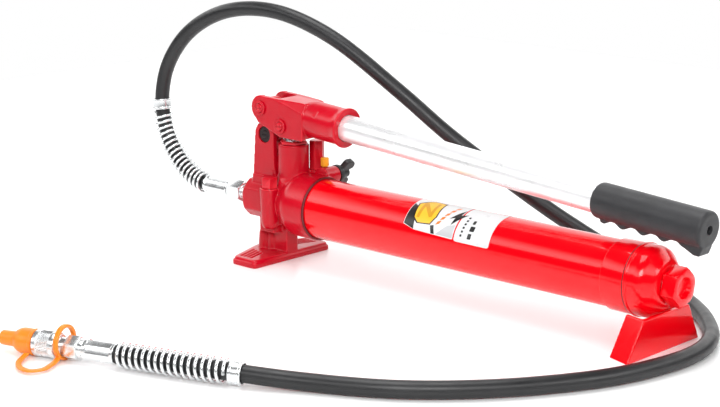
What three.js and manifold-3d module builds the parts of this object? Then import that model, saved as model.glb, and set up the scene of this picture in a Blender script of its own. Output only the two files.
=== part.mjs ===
// Hydraulic hand pump: a cast pump head on a foot, an oil reservoir tube with an end cap and a
// rear foot, a lever with a plug-in handle, and a high-pressure hose that ends in a coupler.
//
// Frame, in millimetres: +X runs from the pump head to the end cap, +Z is up, and -Y is the side
// with the outlet valve. The origin is on the floor, under the middle of the pump without its hose.

import * as THREE from "three";
import { mergeVertices } from "three/addons/utils/BufferGeometryUtils.js";
import Module from "manifold-3d";

const wasm = await Module();
wasm.setup();

// ---------------------------------------------------------------- driving dimensions

const GAP = 0.3; // between pieces that touch

// Reservoir
const JOINT_X = -166.3; // where the tube enters the pump head
const AXIS_Z = 59.5; // height of the tube's axis
const TUBE_R = 30;
const TUBE_WALL = 3.5;
const TUBE_SPIGOT = 14; // how far the tube sits inside the head
const SEAM_X = JOINT_X + 380; // where the end cap begins
const COLLAR_LENGTH = 24;
const COLLAR_R = 31.8;
const CAP_R = 31.8;
const CAP_BEAD = 0.9;
const CAP_LENGTH = 26.5;
const REAR_PLUG_FLATS = 31;
const REAR_PLUG_LENGTH = 14;

// Feet
const FOOT_HALF_WIDTH = 54;
const FOOT_PLATE = 8;
const REAR_FOOT_WALL = 4;
const REAR_FOOT_HEIGHT = 35;

// Pump head
const BARREL_R = 32;
const BARREL_LENGTH = 34;
const PUMP_X = JOINT_X - 42; // axis of the plunger
const CYLINDER_R = 15.5;
const CYLINDER_TOP = 120;
const BODY_TOP = 84;
const PORT_FACE_X = JOINT_X - 97;
const PORT_Z = AXIS_Z - 0.5;
const PORT_HALF = 19; // half the width of the octagonal bar round the outlet
const PORT_CHAMFER = 8.5;
const PORT_R = 6.9;
const VALVE_X = JOINT_X - 55.2; // outlet valve column on the near side
const VALVE_Y = -21;
const VALVE_R = 10;
const VALVE_SEAT = 76; // height at which the valve's plug is seated
const POST_HALF_WIDTH = 12;
const KNOB_X = JOINT_X - 12; // release valve on the far side
const KNOB_Z = 88;
const SAFETY_X = JOINT_X - 28; // safety valve, standing on the far side
const SAFETY_Y = 19;
const SAFETY_Z = 93;
const VENT_X = JOINT_X - 14.5; // vent screw, on the release valve's boss
const VENT_Y = 16.5;
const VENT_Z = 98;

// Plunger and lever
const PLUNGER_R = 9;
const PLUNGER_PIN_Z = 139.5;
const PIN_R = 4.5;
const PIN_CLEARANCE = 0.05;
const PLUNGER_SIDES = 28; // the plunger and its bores turn in step, so that they slide
const LEVER_PIN_X = JOINT_X - 70; // upper end of the link
const LEVER_PIN_Z = 154.5;
const LEVER_HALF_WIDTH = 18.5;
const CHEEK = 5.5;
const FACET_LEAN = THREE.MathUtils.degToRad(33);
const FACET_SLOPE = THREE.MathUtils.degToRad(15.7);
const LOBE_R = 12.7;
const LINK_LENGTH = 28.1;
const LINK_HALF_WIDTH = 6;
const LINK_SLOT = 2.6; // half the length that the lower pin travels in the link's slot
const POST_PIN_X = LEVER_PIN_X - 1.4;

// Handle, on an axis that falls towards the grip
const HANDLE_SLOPE = THREE.MathUtils.degToRad(4.37);
const HANDLE_AXIS_X = JOINT_X + 32; // the socket's mouth
const HANDLE_AXIS_Z = 144.7;
const SOCKET_R = 18.2;
const SOCKET_BORE_R = 13.5;
const SOCKET_DEPTH = 43;
const HANDLE_R = 13;
const HANDLE_WALL = 2.5;
const GRIP_R = 17;
const GRIP_LENGTH = 112.7;
const GRIP_START = 300; // from the mouth to the grip
const HANDLE_INSERT = 40;

// Hose and its ends
const HOSE_R = 7.5;
const FERRULE_R = 9.5;
const FERRULE_LENGTH = 36.5;
const FERRULE_SOCKET = 5;
const GUARD_R = 10.2; // middle of the guard spring's wire
const GUARD_WIRE_R = 1.3;
const GUARD_TURNS = 16.5;
const GUARD_LENGTH = 102;
const END_COLLAR_LENGTH = 11;
const END_COLLAR_R = 10.4;
const END_COLLAR_BORE = 8.6;
const HOSE_NUT_LENGTH = 19.5;
const NIPPLE_LENGTH = 15; // from the port to the hose nut
const HOSE_NUT_FLATS = 20;

// Coupler at the far end of the hose, lying on the floor
const COUPLER_END = new THREE.Vector3(-70.3, -347.3, 11.8); // where the ferrule takes the hose
const COUPLER_HEADING = THREE.MathUtils.degToRad(198); // direction in which it points
const COUPLER_R = 11.5;
const COUPLER_FERRULE = 30.6; // places along the coupler, from the end of the hose
const HEX_START = 35.4;
const HEX_END = 47.4;
const SLEEVE_START = 57;
const SLEEVE_END = 79;
const CAP_END = 99.2;
const NOSE_END = 114.6;
const SPIGOT_R = 7.6;

// Middle of the hose, from the pump's outlet over the top, down behind the pump, round its
// rear foot on the floor and back along the near side to the coupler
const HOSE_ROUTE = [
  [-330.6, 0, 59],
  [-336.0, 0, 59],
  [-343.0, 0, 60.0],
  [-355.7, 0, 64.2],
  [-368.5, 0, 71.2],
  [-379.8, 0, 80.3],
  [-389.4, 0, 91.5],
  [-397.2, 0, 104.6],
  [-402, 0, 118.9],
  [-404.3, 0, 134],
  [-403.7, 0.6, 152.5],
  [-396.1, 2, 178],
  [-372.9, 5, 209.5],
  [-338.7, 10, 232.7],
  [-298.4, 16, 244.6],
  [-250, 26, 243.6],
  [-196.2, 43, 222.6],
  [-127.2, 68, 172.4],
  [-79.9, 86, 134],
  [-25.9, 101, 99.5],
  [27.5, 112, 70],
  [68.7, 120, 50],
  [103.7, 126, 34.5],
  [138.7, 128, 20.5],
  [165.7, 124, 11.6],
  [188, 114, 8.6],
  [211, 96, 8],
  [235, 71, 8],
  [256, 43, 8],
  [269, 14, 8],
  [274, -16, 8],
  [272, -50, 8],
  [263, -92, 8],
  [246, -133, 8],
  [206.4, -194, 8],
  [152, -247.2, 8],
  [84, -285.3, 8.3],
  [30, -314.6, 11.4],
  [-65.5, -345.8, 11.8],
  [-74.8, -348.8, 11.8],
];

// ---------------------------------------------------------------- materials

const paint = { color: 0xc40d18, roughness: 0.3, metalness: 0.0 };
const zinc = { color: 0xd9dde0, roughness: 0.3, metalness: 1.0 };
const steel = { color: 0xb4b6b8, roughness: 0.35, metalness: 1.0 };
const brass = { color: 0xc8a24a, roughness: 0.35, metalness: 1.0 };
const blackRubber = { color: 0x1b1b1c, roughness: 0.6, metalness: 0.0 };
const gripRubber = { color: 0x2e2e31, roughness: 0.55, metalness: 0.0 };
const blackPlastic = { color: 0x161617, roughness: 0.45, metalness: 0.0 };
const orangeRubber = { color: 0xf08a1c, roughness: 0.5, metalness: 0.0 };
const yellowPlastic = { color: 0xe8a21a, roughness: 0.4, metalness: 0.0 };
const whiteFilm = { color: 0xf2f2ef, roughness: 0.35, metalness: 0.0 };

// ---------------------------------------------------------------- solids

// A closed geometry as a solid that faces outwards.
function solid(geometry) {
  const bare = (geometry.index ? geometry.toNonIndexed() : geometry.clone());
  bare.deleteAttribute("normal");
  bare.deleteAttribute("uv");
  const merged = mergeVertices(bare, 1e-4);
  const vertProperties = merged.attributes.position.array;
  const triVerts = new Uint32Array(merged.index.array);
  const first = new wasm.Manifold(new wasm.Mesh({ numProp: 3, vertProperties, triVerts }));
  if (first.volume() > 0) {
    return first;
  }
  for (let i = 0; i < triVerts.length; i += 3) {
    [triVerts[i + 1], triVerts[i + 2]] = [triVerts[i + 2], triVerts[i + 1]];
  }
  return new wasm.Manifold(new wasm.Mesh({ numProp: 3, vertProperties, triVerts }));
}

// A solid back as a geometry for a mesh.
function geometryOf(made) {
  const mesh = made.getMesh();
  const position = new Float32Array(mesh.numVert * 3);
  for (let i = 0; i < mesh.numVert; i += 1) {
    const start = i * mesh.numProp;
    position.set(mesh.vertProperties.subarray(start, start + 3), i * 3);
  }
  const geometry = new THREE.BufferGeometry();
  geometry.setAttribute("position", new THREE.BufferAttribute(position, 3));
  geometry.setIndex(new THREE.BufferAttribute(mesh.triVerts, 1));
  geometry.computeVertexNormals();
  return geometry;
}

function join(...pieces) {
  return pieces.reduce((sum, piece) => sum.add(piece));
}

function cut(body, ...tools) {
  return tools.reduce((rest, tool) => rest.subtract(tool), body);
}

function box(x0, x1, y0, y1, z0, z1) {
  const geometry = new THREE.BoxGeometry(x1 - x0, y1 - y0, z1 - z0);
  geometry.translate((x0 + x1) / 2, (y0 + y1) / 2, (z0 + z1) / 2);
  return solid(geometry);
}

// A profile of [along, radius] pairs turned about an axis: "x", "y" or "z" through the point at.
function turned(profile, axis, at, sides = 32) {
  const points = profile.map(([along, radius]) => new THREE.Vector2(radius, along));
  const geometry = new THREE.LatheGeometry(points, sides);
  if (axis === "x") {
    geometry.rotateZ(-Math.PI / 2);
  }
  if (axis === "z") {
    geometry.rotateX(Math.PI / 2);
  }
  geometry.translate(at[0], at[1], at[2]);
  return solid(geometry);
}

// A round rod, or a rod with another radius at its far end, along an axis from start to end.
function rod(axis, at, start, end, radius, endRadius = radius, sides = 32) {
  return turned([[start, 0], [start, radius], [end, endRadius], [end, 0]], axis, at, sides);
}

// A ring with a rectangular section.
function ring(axis, at, start, end, inner, outer, sides = 32) {
  const profile = [[start, inner], [start, outer], [end, outer], [end, inner], [start, inner]];
  return turned(profile, axis, at, sides);
}

// A hexagonal rod, across flats, with its flats turned by an angle.
function hexRod(axis, at, start, end, flats, turn = 0) {
  const corner = flats / 2 / Math.cos(Math.PI / 6);
  const points = [[start, 0], [start, corner], [end, corner], [end, 0]];
  const lathe = points.map(([along, radius]) => new THREE.Vector2(radius, along));
  const geometry = new THREE.LatheGeometry(lathe, 6);
  geometry.rotateY(turn);
  if (axis === "x") {
    geometry.rotateZ(-Math.PI / 2);
  }
  if (axis === "z") {
    geometry.rotateX(Math.PI / 2);
  }
  geometry.translate(at[0], at[1], at[2]);
  return solid(geometry);
}

// A flat outline in X and Z, given thickness from y0 to y1.
function sidePlate(shape, y0, y1, curveSegments = 5) {
  const geometry = new THREE.ExtrudeGeometry(shape, {
    depth: y1 - y0,
    bevelEnabled: false,
    curveSegments,
  });
  geometry.rotateX(Math.PI / 2);
  geometry.translate(0, y1, 0);
  return solid(geometry);
}

// A flat outline in X and Y, given height from z0 to z1.
function floorPlate(shape, z0, z1, curveSegments = 5) {
  const geometry = new THREE.ExtrudeGeometry(shape, {
    depth: z1 - z0,
    bevelEnabled: false,
    curveSegments,
  });
  geometry.translate(0, 0, z0);
  return solid(geometry);
}

function outline(points) {
  return new THREE.Shape(points.map(([x, y]) => new THREE.Vector2(x, y)));
}

// A closed polygon with every corner rounded to a radius.
function roundedOutline(points, radius) {
  const shape = new THREE.Shape();
  const count = points.length;
  points.forEach((point, i) => {
    const corner = new THREE.Vector2(...point);
    const before = new THREE.Vector2(...points[(i + count - 1) % count]);
    const after = new THREE.Vector2(...points[(i + 1) % count]);
    const reach = Math.min(radius, 0.45 * corner.distanceTo(before), 0.45 * corner.distanceTo(after));
    const enter = corner.clone().add(before.sub(corner).setLength(reach));
    const leave = corner.clone().add(after.sub(corner).setLength(reach));
    if (i === 0) {
      shape.moveTo(enter.x, enter.y);
    } else {
      shape.lineTo(enter.x, enter.y);
    }
    shape.quadraticCurveTo(corner.x, corner.y, leave.x, leave.y);
  });
  shape.closePath();
  return shape;
}

function circleOutline(radius, sides) {
  const points = [];
  for (let i = 0; i < sides; i += 1) {
    const angle = (2 * Math.PI * i) / sides;
    points.push([radius * Math.cos(angle), radius * Math.sin(angle)]);
  }
  return outline(points);
}

// A section swept along a curve.
function swept(section, curve, steps) {
  return new THREE.ExtrudeGeometry(section, { steps, extrudePath: curve, bevelEnabled: false });
}

// A helix of wire round a stretch of another curve.
class HelixAlong extends THREE.Curve {
  constructor(curve, startLength, length, turns, radius) {
    super();
    Object.assign(this, { curve, startLength, length, turns, radius });
    this.total = curve.getLength();
  }

  getPoint(t, target = new THREE.Vector3()) {
    const u = (this.startLength + this.length * t) / this.total;
    const middle = this.curve.getPointAt(u);
    const along = this.curve.getTangentAt(u);
    const across = new THREE.Vector3(-along.y, along.x, 0);
    if (across.length() < 0.02 || this.startLength < this.total / 2) {
      across.set(0, 1, 0);
    }
    across.addScaledVector(along, -across.dot(along)).normalize();
    const upward = new THREE.Vector3().crossVectors(along, across);
    const angle = 2 * Math.PI * this.turns * t;
    return target
      .copy(middle)
      .addScaledVector(across, this.radius * Math.cos(angle))
      .addScaledVector(upward, this.radius * Math.sin(angle));
  }
}

// ---------------------------------------------------------------- the assembly

const pump = new THREE.Group();

function place(name, made, look, parent = pump) {
  const geometry = made instanceof THREE.BufferGeometry ? made : geometryOf(made);
  const mesh = new THREE.Mesh(geometry, new THREE.MeshStandardMaterial(look));
  mesh.name = name;
  parent.add(mesh);
  return mesh;
}

const pumpAxis = [PUMP_X, 0, 0];

// ---------------------------------------------------------------- pump head

function headFoot() {
  const shape = roundedOutline(
    [
      [JOINT_X - 77, -FOOT_HALF_WIDTH],
      [JOINT_X - 44, -FOOT_HALF_WIDTH],
      [JOINT_X - 44, FOOT_HALF_WIDTH],
      [JOINT_X - 77, FOOT_HALF_WIDTH],
      [JOINT_X - 94, 5],
      [JOINT_X - 94, -5],
    ],
    4,
  );
  const grooves = [0, 1, 2, 3].flatMap((row) => [footGroove(row, -1), footGroove(row, 1)]);
  return cut(floorPlate(shape, 0, FOOT_PLATE), ...grooves);
}

// A shallow groove in a toe of the foot, running inwards beside its slanted edge.
function footGroove(row, side) {
  const outer = [JOINT_X - 71 + 4.6 * row, side * 47];
  const inner = [JOINT_X - 80 + 5.2 * row, side * (19 + 1.5 * row)];
  const corners = [
    [outer[0] - 0.9, outer[1]],
    [outer[0] + 0.9, outer[1]],
    [inner[0] + 0.9, inner[1]],
    [inner[0] - 0.9, inner[1]],
  ];
  return floorPlate(outline(side < 0 ? corners : corners.reverse()), FOOT_PLATE - 1.2, FOOT_PLATE + 1);
}

function headBody() {
  const barrel = turned(
    [
      [-BARREL_LENGTH - 8, 0],
      [-BARREL_LENGTH - 8, 24],
      [-BARREL_LENGTH, 29],
      [-BARREL_LENGTH + 5, BARREL_R],
      [-1.2, BARREL_R],
      [0, BARREL_R - 1.2],
      [0, 0],
    ],
    "x",
    [JOINT_X, 0, AXIS_Z],
    40,
  );
  const top = box(JOINT_X - 88, JOINT_X - 24, -13, 13, 60, BODY_TOP);
  const cylinder = turned(
    [
      [60, 0],
      [60, CYLINDER_R + 3],
      [BODY_TOP - 2, CYLINDER_R + 3],
      [BODY_TOP + 3, CYLINDER_R],
      [CYLINDER_TOP - 1, CYLINDER_R],
      [CYLINDER_TOP, CYLINDER_R - 1],
      [CYLINDER_TOP, 0],
    ],
    "z",
    pumpAxis,
    28,
  );
  return join(barrel, top, cylinder, ...pedestal());
}

// Two round lobes on the foot, the block behind them, its narrower neck, and a web under the barrel.
function pedestal() {
  return [
    rod("z", [JOINT_X - 78.5, -4, 0], 4, 28, 7.6, 6.4, 20),
    rod("z", [JOINT_X - 67.5, -2.5, 0], 4, 27, 7.6, 6.4, 20),
    box(JOINT_X - 84, JOINT_X - 62, -3, 9, 4, 30),
    box(JOINT_X - 79, JOINT_X - 60, -12, 12, 28, 46),
    box(JOINT_X - 68, JOINT_X - 45.5, -7, 9, 4, 40),
  ];
}

function portBlock() {
  const half = PORT_HALF;
  const low = half - PORT_CHAMFER;
  const shape = outline([
    [-half, -low],
    [-low, -half],
    [low, -half],
    [half, -low],
    [half, low],
    [low, half],
    [-low, half],
    [-half, low],
  ]);
  const length = JOINT_X - 30 - PORT_FACE_X;
  const geometry = new THREE.ExtrudeGeometry(shape, { depth: length, bevelEnabled: false });
  geometry.rotateX(Math.PI / 2);
  geometry.rotateZ(Math.PI / 2);
  geometry.translate(PORT_FACE_X, 0, PORT_Z);
  const face = [PORT_FACE_X, 0, PORT_Z];
  return solid(geometry).intersect(rod("x", face, 0, length, half + 0.5, half + length, 16));
}

function forkPost() {
  const shape = roundedOutline(
    [
      [JOINT_X - 89, BODY_TOP - 14],
      [JOINT_X - 56, BODY_TOP - 14],
      [JOINT_X - 58.5, 111],
      [JOINT_X - 58.5, 130],
      [JOINT_X - 63, 137],
      [JOINT_X - 70, 139.6],
      [JOINT_X - 79, 138],
      [JOINT_X - 84.5, 130.5],
    ],
    2,
  );
  return sidePlate(shape, -POST_HALF_WIDTH, POST_HALF_WIDTH);
}

function valveColumn() {
  const at = [VALVE_X, VALVE_Y, 0];
  const column = rod("z", at, 35, VALVE_SEAT, VALVE_R - 1, VALVE_R, 20);
  const web = box(VALVE_X - 8, VALVE_X + 7, VALVE_Y, -8, 37, VALVE_SEAT - 5);
  const shelf = box(JOINT_X - 72, VALVE_X + 3, VALVE_Y + 2, -6, 29, 42);
  return join(column, web, shelf);
}

function releaseBoss() {
  return rod("y", [KNOB_X, 0, KNOB_Z], 8, 28, 10, 9, 20);
}

function safetyBoss() {
  return rod("z", [SAFETY_X, SAFETY_Y, 0], 70, SAFETY_Z, 10, 9, 20);
}

// A disc round the lower pin of the link, on one side of the post.
function postPinDisc(side, from, to, radius) {
  const [start, end] = side < 0 ? [-to, -from] : [from, to];
  return rod("y", [POST_PIN_X, 0, LEVER_PIN_Z - LINK_LENGTH], start, end, radius, undefined, 28);
}

function headCuts() {
  const boreR = PLUNGER_R + PIN_CLEARANCE;
  const pistonBore = rod("z", pumpAxis, 44, CYLINDER_TOP + 1, boreR, undefined, PLUNGER_SIDES);
  const glandBore = rod("z", pumpAxis, CYLINDER_TOP - 16, CYLINDER_TOP + 1, 12.3);
  const linkSlot = box(JOINT_X - 95, JOINT_X - 57.6, -7, 7, 105, 145);
  const pinHole = rod("y", [POST_PIN_X, 0, LEVER_PIN_Z - LINK_LENGTH], -20, 20, PIN_R + GAP);
  const [nearRecess, farRecess] = [-1, 1].map((side) => postPinDisc(side, 9.2, 13, 8.4));
  const outlet = rod("x", [0, 0, PORT_Z], PORT_FACE_X - 1, JOINT_X - 60, PORT_R);
  const outletGallery = rod("y", [VALVE_X - 4, 0, PORT_Z], VALVE_Y, 0, 2.5, undefined, 12);
  const valveGallery = rod("y", [VALVE_X, 0, 48], VALVE_Y, -3, 2.5, undefined, 12);
  const pumpGallery = rod("x", [0, -4, 48], VALVE_X, PUMP_X, 2.5, undefined, 12);
  const valveBore = rod("z", [VALVE_X, VALVE_Y, 0], 44, VALVE_SEAT + 1, 5.5, undefined, 16);
  const spotFace = rod("z", [VALVE_X, VALVE_Y, 0], VALVE_SEAT, 92, 9.4, 10.5, 24);
  const tubeSeat = rod("x", [JOINT_X, 0, AXIS_Z], -TUBE_SPIGOT, 1, TUBE_R + GAP, undefined, 40);
  const oilWell = rod("x", [JOINT_X, 0, AXIS_Z], -TUBE_SPIGOT - 6, 0, 24, undefined, 24);
  const suction = rod("x", [JOINT_X, 0, AXIS_Z - 14], -38, 0, 3.2, undefined, 12);
  const suctionRise = rod("z", pumpAxis, 40, 50, 3.4, undefined, 12);
  const releaseBore = rod("y", [KNOB_X, 0, KNOB_Z], 12, 30, 5.3, undefined, 16);
  const safetyBore = rod("z", [SAFETY_X, SAFETY_Y, 0], 84, 94, 4.3, undefined, 12);
  const ventBore = rod("z", [VENT_X, VENT_Y, 0], VENT_Z - 3, VENT_Z + 1, 2.8, undefined, 16);
  return [
    pistonBore,
    glandBore,
    linkSlot,
    pinHole,
    nearRecess,
    farRecess,
    outlet,
    outletGallery,
    valveGallery,
    pumpGallery,
    valveBore,
    spotFace,
    tubeSeat,
    oilWell,
    suction,
    suctionRise,
    releaseBore,
    safetyBore,
    ventBore,
  ];
}

function headCasting() {
  const whole = join(
    headFoot(),
    headBody(),
    portBlock(),
    forkPost(),
    valveColumn(),
    releaseBoss(),
    safetyBoss(),
  );
  return cut(whole, ...headCuts());
}

place("head_casting", headCasting(), paint);

// ---------------------------------------------------------------- valves in the head

function hexHeadScrew(axis, at, seat, headLength, flats, shankR, shankLength, turn = 0) {
  const corner = flats / 2 / Math.cos(Math.PI / 6);
  const end = seat + headLength;
  const chamfer = turned(
    [
      [seat - 1, 0],
      [seat - 1, corner + 1],
      [end - 1.4, corner + 0.2],
      [end, corner - 1.6],
      [end, 0],
    ],
    axis,
    at,
    24,
  );
  const head = hexRod(axis, at, seat, end, flats, turn).intersect(chamfer);
  return join(head, rod(axis, at, seat - shankLength, seat + 1, shankR, undefined, 20));
}

function coilSpring(at, bottom, top, radius, wireR, turns) {
  const line = new THREE.LineCurve3(
    new THREE.Vector3(at[0], at[1], bottom),
    new THREE.Vector3(at[0], at[1], top),
  );
  const helix = new HelixAlong(line, 0, top - bottom, turns, radius);
  return solid(swept(circleOutline(wireR, 5), helix, turns * 8));
}

function ball(at, radius) {
  const geometry = new THREE.SphereGeometry(radius, 14, 8);
  geometry.translate(...at);
  return solid(geometry);
}

const valveAxis = [VALVE_X, VALVE_Y, 0];
const safetyAxis = [SAFETY_X, SAFETY_Y, 0];
place("outlet_plug", hexHeadScrew("z", valveAxis, VALVE_SEAT + GAP, 10.7, 15, 5.2, 10), paint);
place("outlet_ball", ball([VALVE_X, VALVE_Y, 48], 3.6), steel);
place("outlet_spring", coilSpring(valveAxis, 52.6, 65.2, 3.2, 0.45, 5), steel);
place("inlet_ball", ball([PUMP_X, 0, 48.4], 3.9), steel);
place("safety_valve_body", hexHeadScrew("z", safetyAxis, SAFETY_Z + GAP, 29, 13.5, 4, 7), paint);
const ventAxis = [VENT_X, VENT_Y, 0];
place("vent_screw", hexHeadScrew("z", ventAxis, VENT_Z + GAP, 8.5, 7.6, 2.5, 2.5), yellowPlastic);

// ---------------------------------------------------------------- reservoir

// The end cap's outside, from the seam to its flat end, grown by an offset.
function capOutside(offset) {
  const round = 14;
  const steps = 5;
  const points = [
    [0, CAP_R + CAP_BEAD + offset],
    [2.2, CAP_R + CAP_BEAD + offset],
    [3, CAP_R + offset],
  ];
  for (let step = 0; step <= steps; step += 1) {
    const angle = (Math.PI / 2) * (1 - step / steps);
    const along = CAP_LENGTH - round + (round + offset) * Math.cos(angle);
    points.push([along, CAP_R - round + (round + offset) * Math.sin(angle)]);
  }
  return points;
}

function endCap() {
  const at = [SEAM_X, 0, AXIS_Z];
  const spigot = TUBE_R - TUBE_WALL - GAP;
  const profile = [
    [-16, 20],
    [-16, spigot],
    [-10, spigot],
    [-10, spigot - 2],
    [-7, spigot - 2],
    [-7, spigot],
    [0, spigot],
    ...capOutside(0),
    [CAP_LENGTH, 8.3],
    [13, 8.3],
    [10, 20],
    [-16, 20],
  ];
  return turned(profile, "x", at, 36);
}

function rearPlug() {
  const at = [SEAM_X, 0, AXIS_Z];
  const seat = CAP_LENGTH + 2;
  const screw = hexHeadScrew("x", at, seat, REAR_PLUG_LENGTH - 1, REAR_PLUG_FLATS, 8, 14, 0.3);
  const recess = rod("x", at, seat + REAR_PLUG_LENGTH - 6, seat + REAR_PLUG_LENGTH, 8.6, 9.6, 24);
  return cut(screw, recess);
}

const jointAt = [JOINT_X, 0, AXIS_Z];
const seamAt = [SEAM_X, 0, AXIS_Z];
const tubeLength = SEAM_X - JOINT_X;
const tubeBore = TUBE_R - TUBE_WALL;
place(
  "reservoir_tube",
  ring("x", jointAt, 2.3 - TUBE_SPIGOT, tubeLength - GAP, tubeBore, TUBE_R, 48),
  paint,
);
place(
  "tube_seal_front",
  ring("x", jointAt, GAP - TUBE_SPIGOT, 2 - TUBE_SPIGOT, tubeBore, TUBE_R - 0.1),
  blackRubber,
);
place("tube_seal_rear", ring("x", seamAt, -9.7, -7.3, 24.6, tubeBore - GAP), blackRubber);
place(
  "rear_collar",
  turned(
    [
      [-COLLAR_LENGTH, TUBE_R + GAP],
      [-COLLAR_LENGTH, COLLAR_R - 0.6],
      [0.8 - COLLAR_LENGTH, COLLAR_R],
      [-GAP, COLLAR_R],
      [-GAP, TUBE_R + GAP],
      [-COLLAR_LENGTH, TUBE_R + GAP],
    ],
    "x",
    seamAt,
    36,
  ),
  paint,
);
place("end_cap", endCap(), paint);
place("plug_seal", ring("x", seamAt, CAP_LENGTH + GAP, CAP_LENGTH + 2 - GAP, 8.4, 13.5, 24), steel);
place("rear_plug", rearPlug(), paint);
const suctionAt = [JOINT_X, 0, AXIS_Z - 14];
place("suction_tube", ring("x", suctionAt, -30, 340, 1.9, 2.9, 12), steel);
place(
  "suction_strainer",
  turned(
    [
      [354, 0],
      [354, 6.5],
      [332, 6.5],
      [332, 3.2],
      [330, 3.2],
      [330, 8],
      [356, 8],
      [356, 0],
    ],
    "x",
    suctionAt,
    16,
  ),
  brass,
);

// A block between two rectangles, at the floor and at the top, each [x0, x1, half y0, half y1].
function taperedBlock(z0, low, z1, high) {
  const corners = [
    [z0, low],
    [z1, high],
  ].flatMap(([z, [x0, x1, front, back]]) => [
    [x0, -front, z],
    [x1, -back, z],
    [x1, back, z],
    [x0, front, z],
  ]);
  const faces = [
    [0, 3, 2, 1],
    [4, 5, 6, 7],
    [0, 1, 5, 4],
    [1, 2, 6, 5],
    [2, 3, 7, 6],
    [3, 0, 4, 7],
  ];
  const position = faces
    .flatMap(([a, b, c, d]) => [a, b, c, a, c, d])
    .flatMap((corner) => corners[corner]);
  const geometry = new THREE.BufferGeometry();
  geometry.setAttribute("position", new THREE.Float32BufferAttribute(position, 3));
  return solid(geometry);
}

// Pressed from plate: a rear wall and two side flanges, open underneath and towards the head.
function rearFoot() {
  const back = SEAM_X + 23;
  const wall = REAR_FOOT_WALL;
  const outer = taperedBlock(
    0,
    [SEAM_X - 1, back, 46, FOOT_HALF_WIDTH],
    REAR_FOOT_HEIGHT,
    [SEAM_X + 3, back + 2, 29, 34],
  );
  const inner = taperedBlock(
    -1,
    [SEAM_X - 9, back - wall, 43, FOOT_HALF_WIDTH - wall],
    REAR_FOOT_HEIGHT + 1,
    [SEAM_X - 5, back + 2 - wall, 24, 34 - wall],
  );
  const saddle = turned(
    [[-30, 0], [-30, CAP_R + CAP_BEAD + GAP], ...capOutside(GAP), [CAP_LENGTH + GAP, 0]],
    "x",
    seamAt,
    40,
  );
  return cut(outer, inner, saddle);
}

place("rear_foot", rearFoot(), paint);

function decal(x0, x1, lowAngle, highAngle) {
  const inner = TUBE_R + GAP;
  const outer = inner + 0.35;
  const from = Math.PI - THREE.MathUtils.degToRad(lowAngle);
  const to = Math.PI - THREE.MathUtils.degToRad(highAngle);
  const shape = new THREE.Shape();
  shape.absarc(0, 0, outer, from, to, true);
  shape.absarc(0, 0, inner, to, from, false);
  const geometry = new THREE.ExtrudeGeometry(shape, {
    depth: x1 - x0,
    bevelEnabled: false,
    curveSegments: 14,
  });
  geometry.rotateX(Math.PI / 2);
  geometry.rotateZ(Math.PI / 2);
  geometry.translate(x0, 0, AXIS_Z);
  return solid(geometry);
}

place("label_graphic", decal(-36, 23.6, 15, 94), whiteFilm);
place("label_plain", decal(24.2, 67, 11.5, 96), whiteFilm);

// ---------------------------------------------------------------- plunger and link

function plungerPiece() {
  const shank = turned(
    [
      [56, 0],
      [56, PLUNGER_R - 1],
      [57, PLUNGER_R],
      [127, PLUNGER_R],
      [129, PLUNGER_R - 1.5],
      [129, 0],
    ],
    "z",
    pumpAxis,
    PLUNGER_SIDES,
  );
  const tongue = box(PUMP_X - 7.5, PUMP_X + 7.5, -7, 7, 122, PLUNGER_PIN_Z);
  const eye = rod("y", [PUMP_X, 0, PLUNGER_PIN_Z], -7, 7, 9.2, undefined, 28);
  const hole = rod("y", [PUMP_X, 0, PLUNGER_PIN_Z], -8, 8, PIN_R + PIN_CLEARANCE);
  return cut(join(shank, tongue.intersect(rod("z", pumpAxis, 120, 150, 9)), eye), hole);
}

function linkPiece() {
  const low = LEVER_PIN_Z - LINK_LENGTH;
  const width = LINK_HALF_WIDTH;
  const upperEye = rod("y", [LEVER_PIN_X, 0, LEVER_PIN_Z], -width, width, 9.5, undefined, 28);
  const lowerEyes = [-LINK_SLOT, LINK_SLOT].map((dx) =>
    rod("y", [LEVER_PIN_X + dx, 0, low], -width, width, 8.5, undefined, 28),
  );
  const middle = box(
    LEVER_PIN_X - LINK_SLOT,
    LEVER_PIN_X + LINK_SLOT,
    -width,
    width,
    low - 8.4,
    low + 8.4,
  );
  const bar = box(LEVER_PIN_X - 6, LEVER_PIN_X + 6, -width, width, low, LEVER_PIN_Z);
  const hole = rod("y", [LEVER_PIN_X, 0, LEVER_PIN_Z], -8, 8, PIN_R + PIN_CLEARANCE);
  const slotR = PIN_R + 0.5;
  const slotEnds = [-LINK_SLOT, LINK_SLOT].map((dx) =>
    rod("y", [LEVER_PIN_X + dx, 0, low], -8, 8, slotR, undefined, 28),
  );
  const slot = box(
    LEVER_PIN_X - LINK_SLOT,
    LEVER_PIN_X + LINK_SLOT,
    -8,
    8,
    low - slotR * 0.99,
    low + slotR * 0.99,
  );
  return cut(join(upperEye, ...lowerEyes, middle, bar), hole, ...slotEnds, slot);
}

function glandNut() {
  const nut = hexRod("z", pumpAxis, CYLINDER_TOP + GAP, CYLINDER_TOP + 3, 25, 0.4);
  const sleeve = rod("z", pumpAxis, CYLINDER_TOP - 11.5, CYLINDER_TOP + 1, 12, undefined, 32);
  const boreR = PLUNGER_R + PIN_CLEARANCE;
  const bore = rod("z", pumpAxis, 100, 130, boreR, undefined, PLUNGER_SIDES);
  return cut(join(nut, sleeve), bore);
}

place("plunger", plungerPiece(), steel);
place("gland_nut", glandNut(), paint);
place(
  "plunger_seal",
  ring("z", pumpAxis, CYLINDER_TOP - 15.6, CYLINDER_TOP - 12, 9.2, 12, PLUNGER_SIDES),
  blackRubber,
);
place("link", linkPiece(), paint);

// ---------------------------------------------------------------- lever

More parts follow.
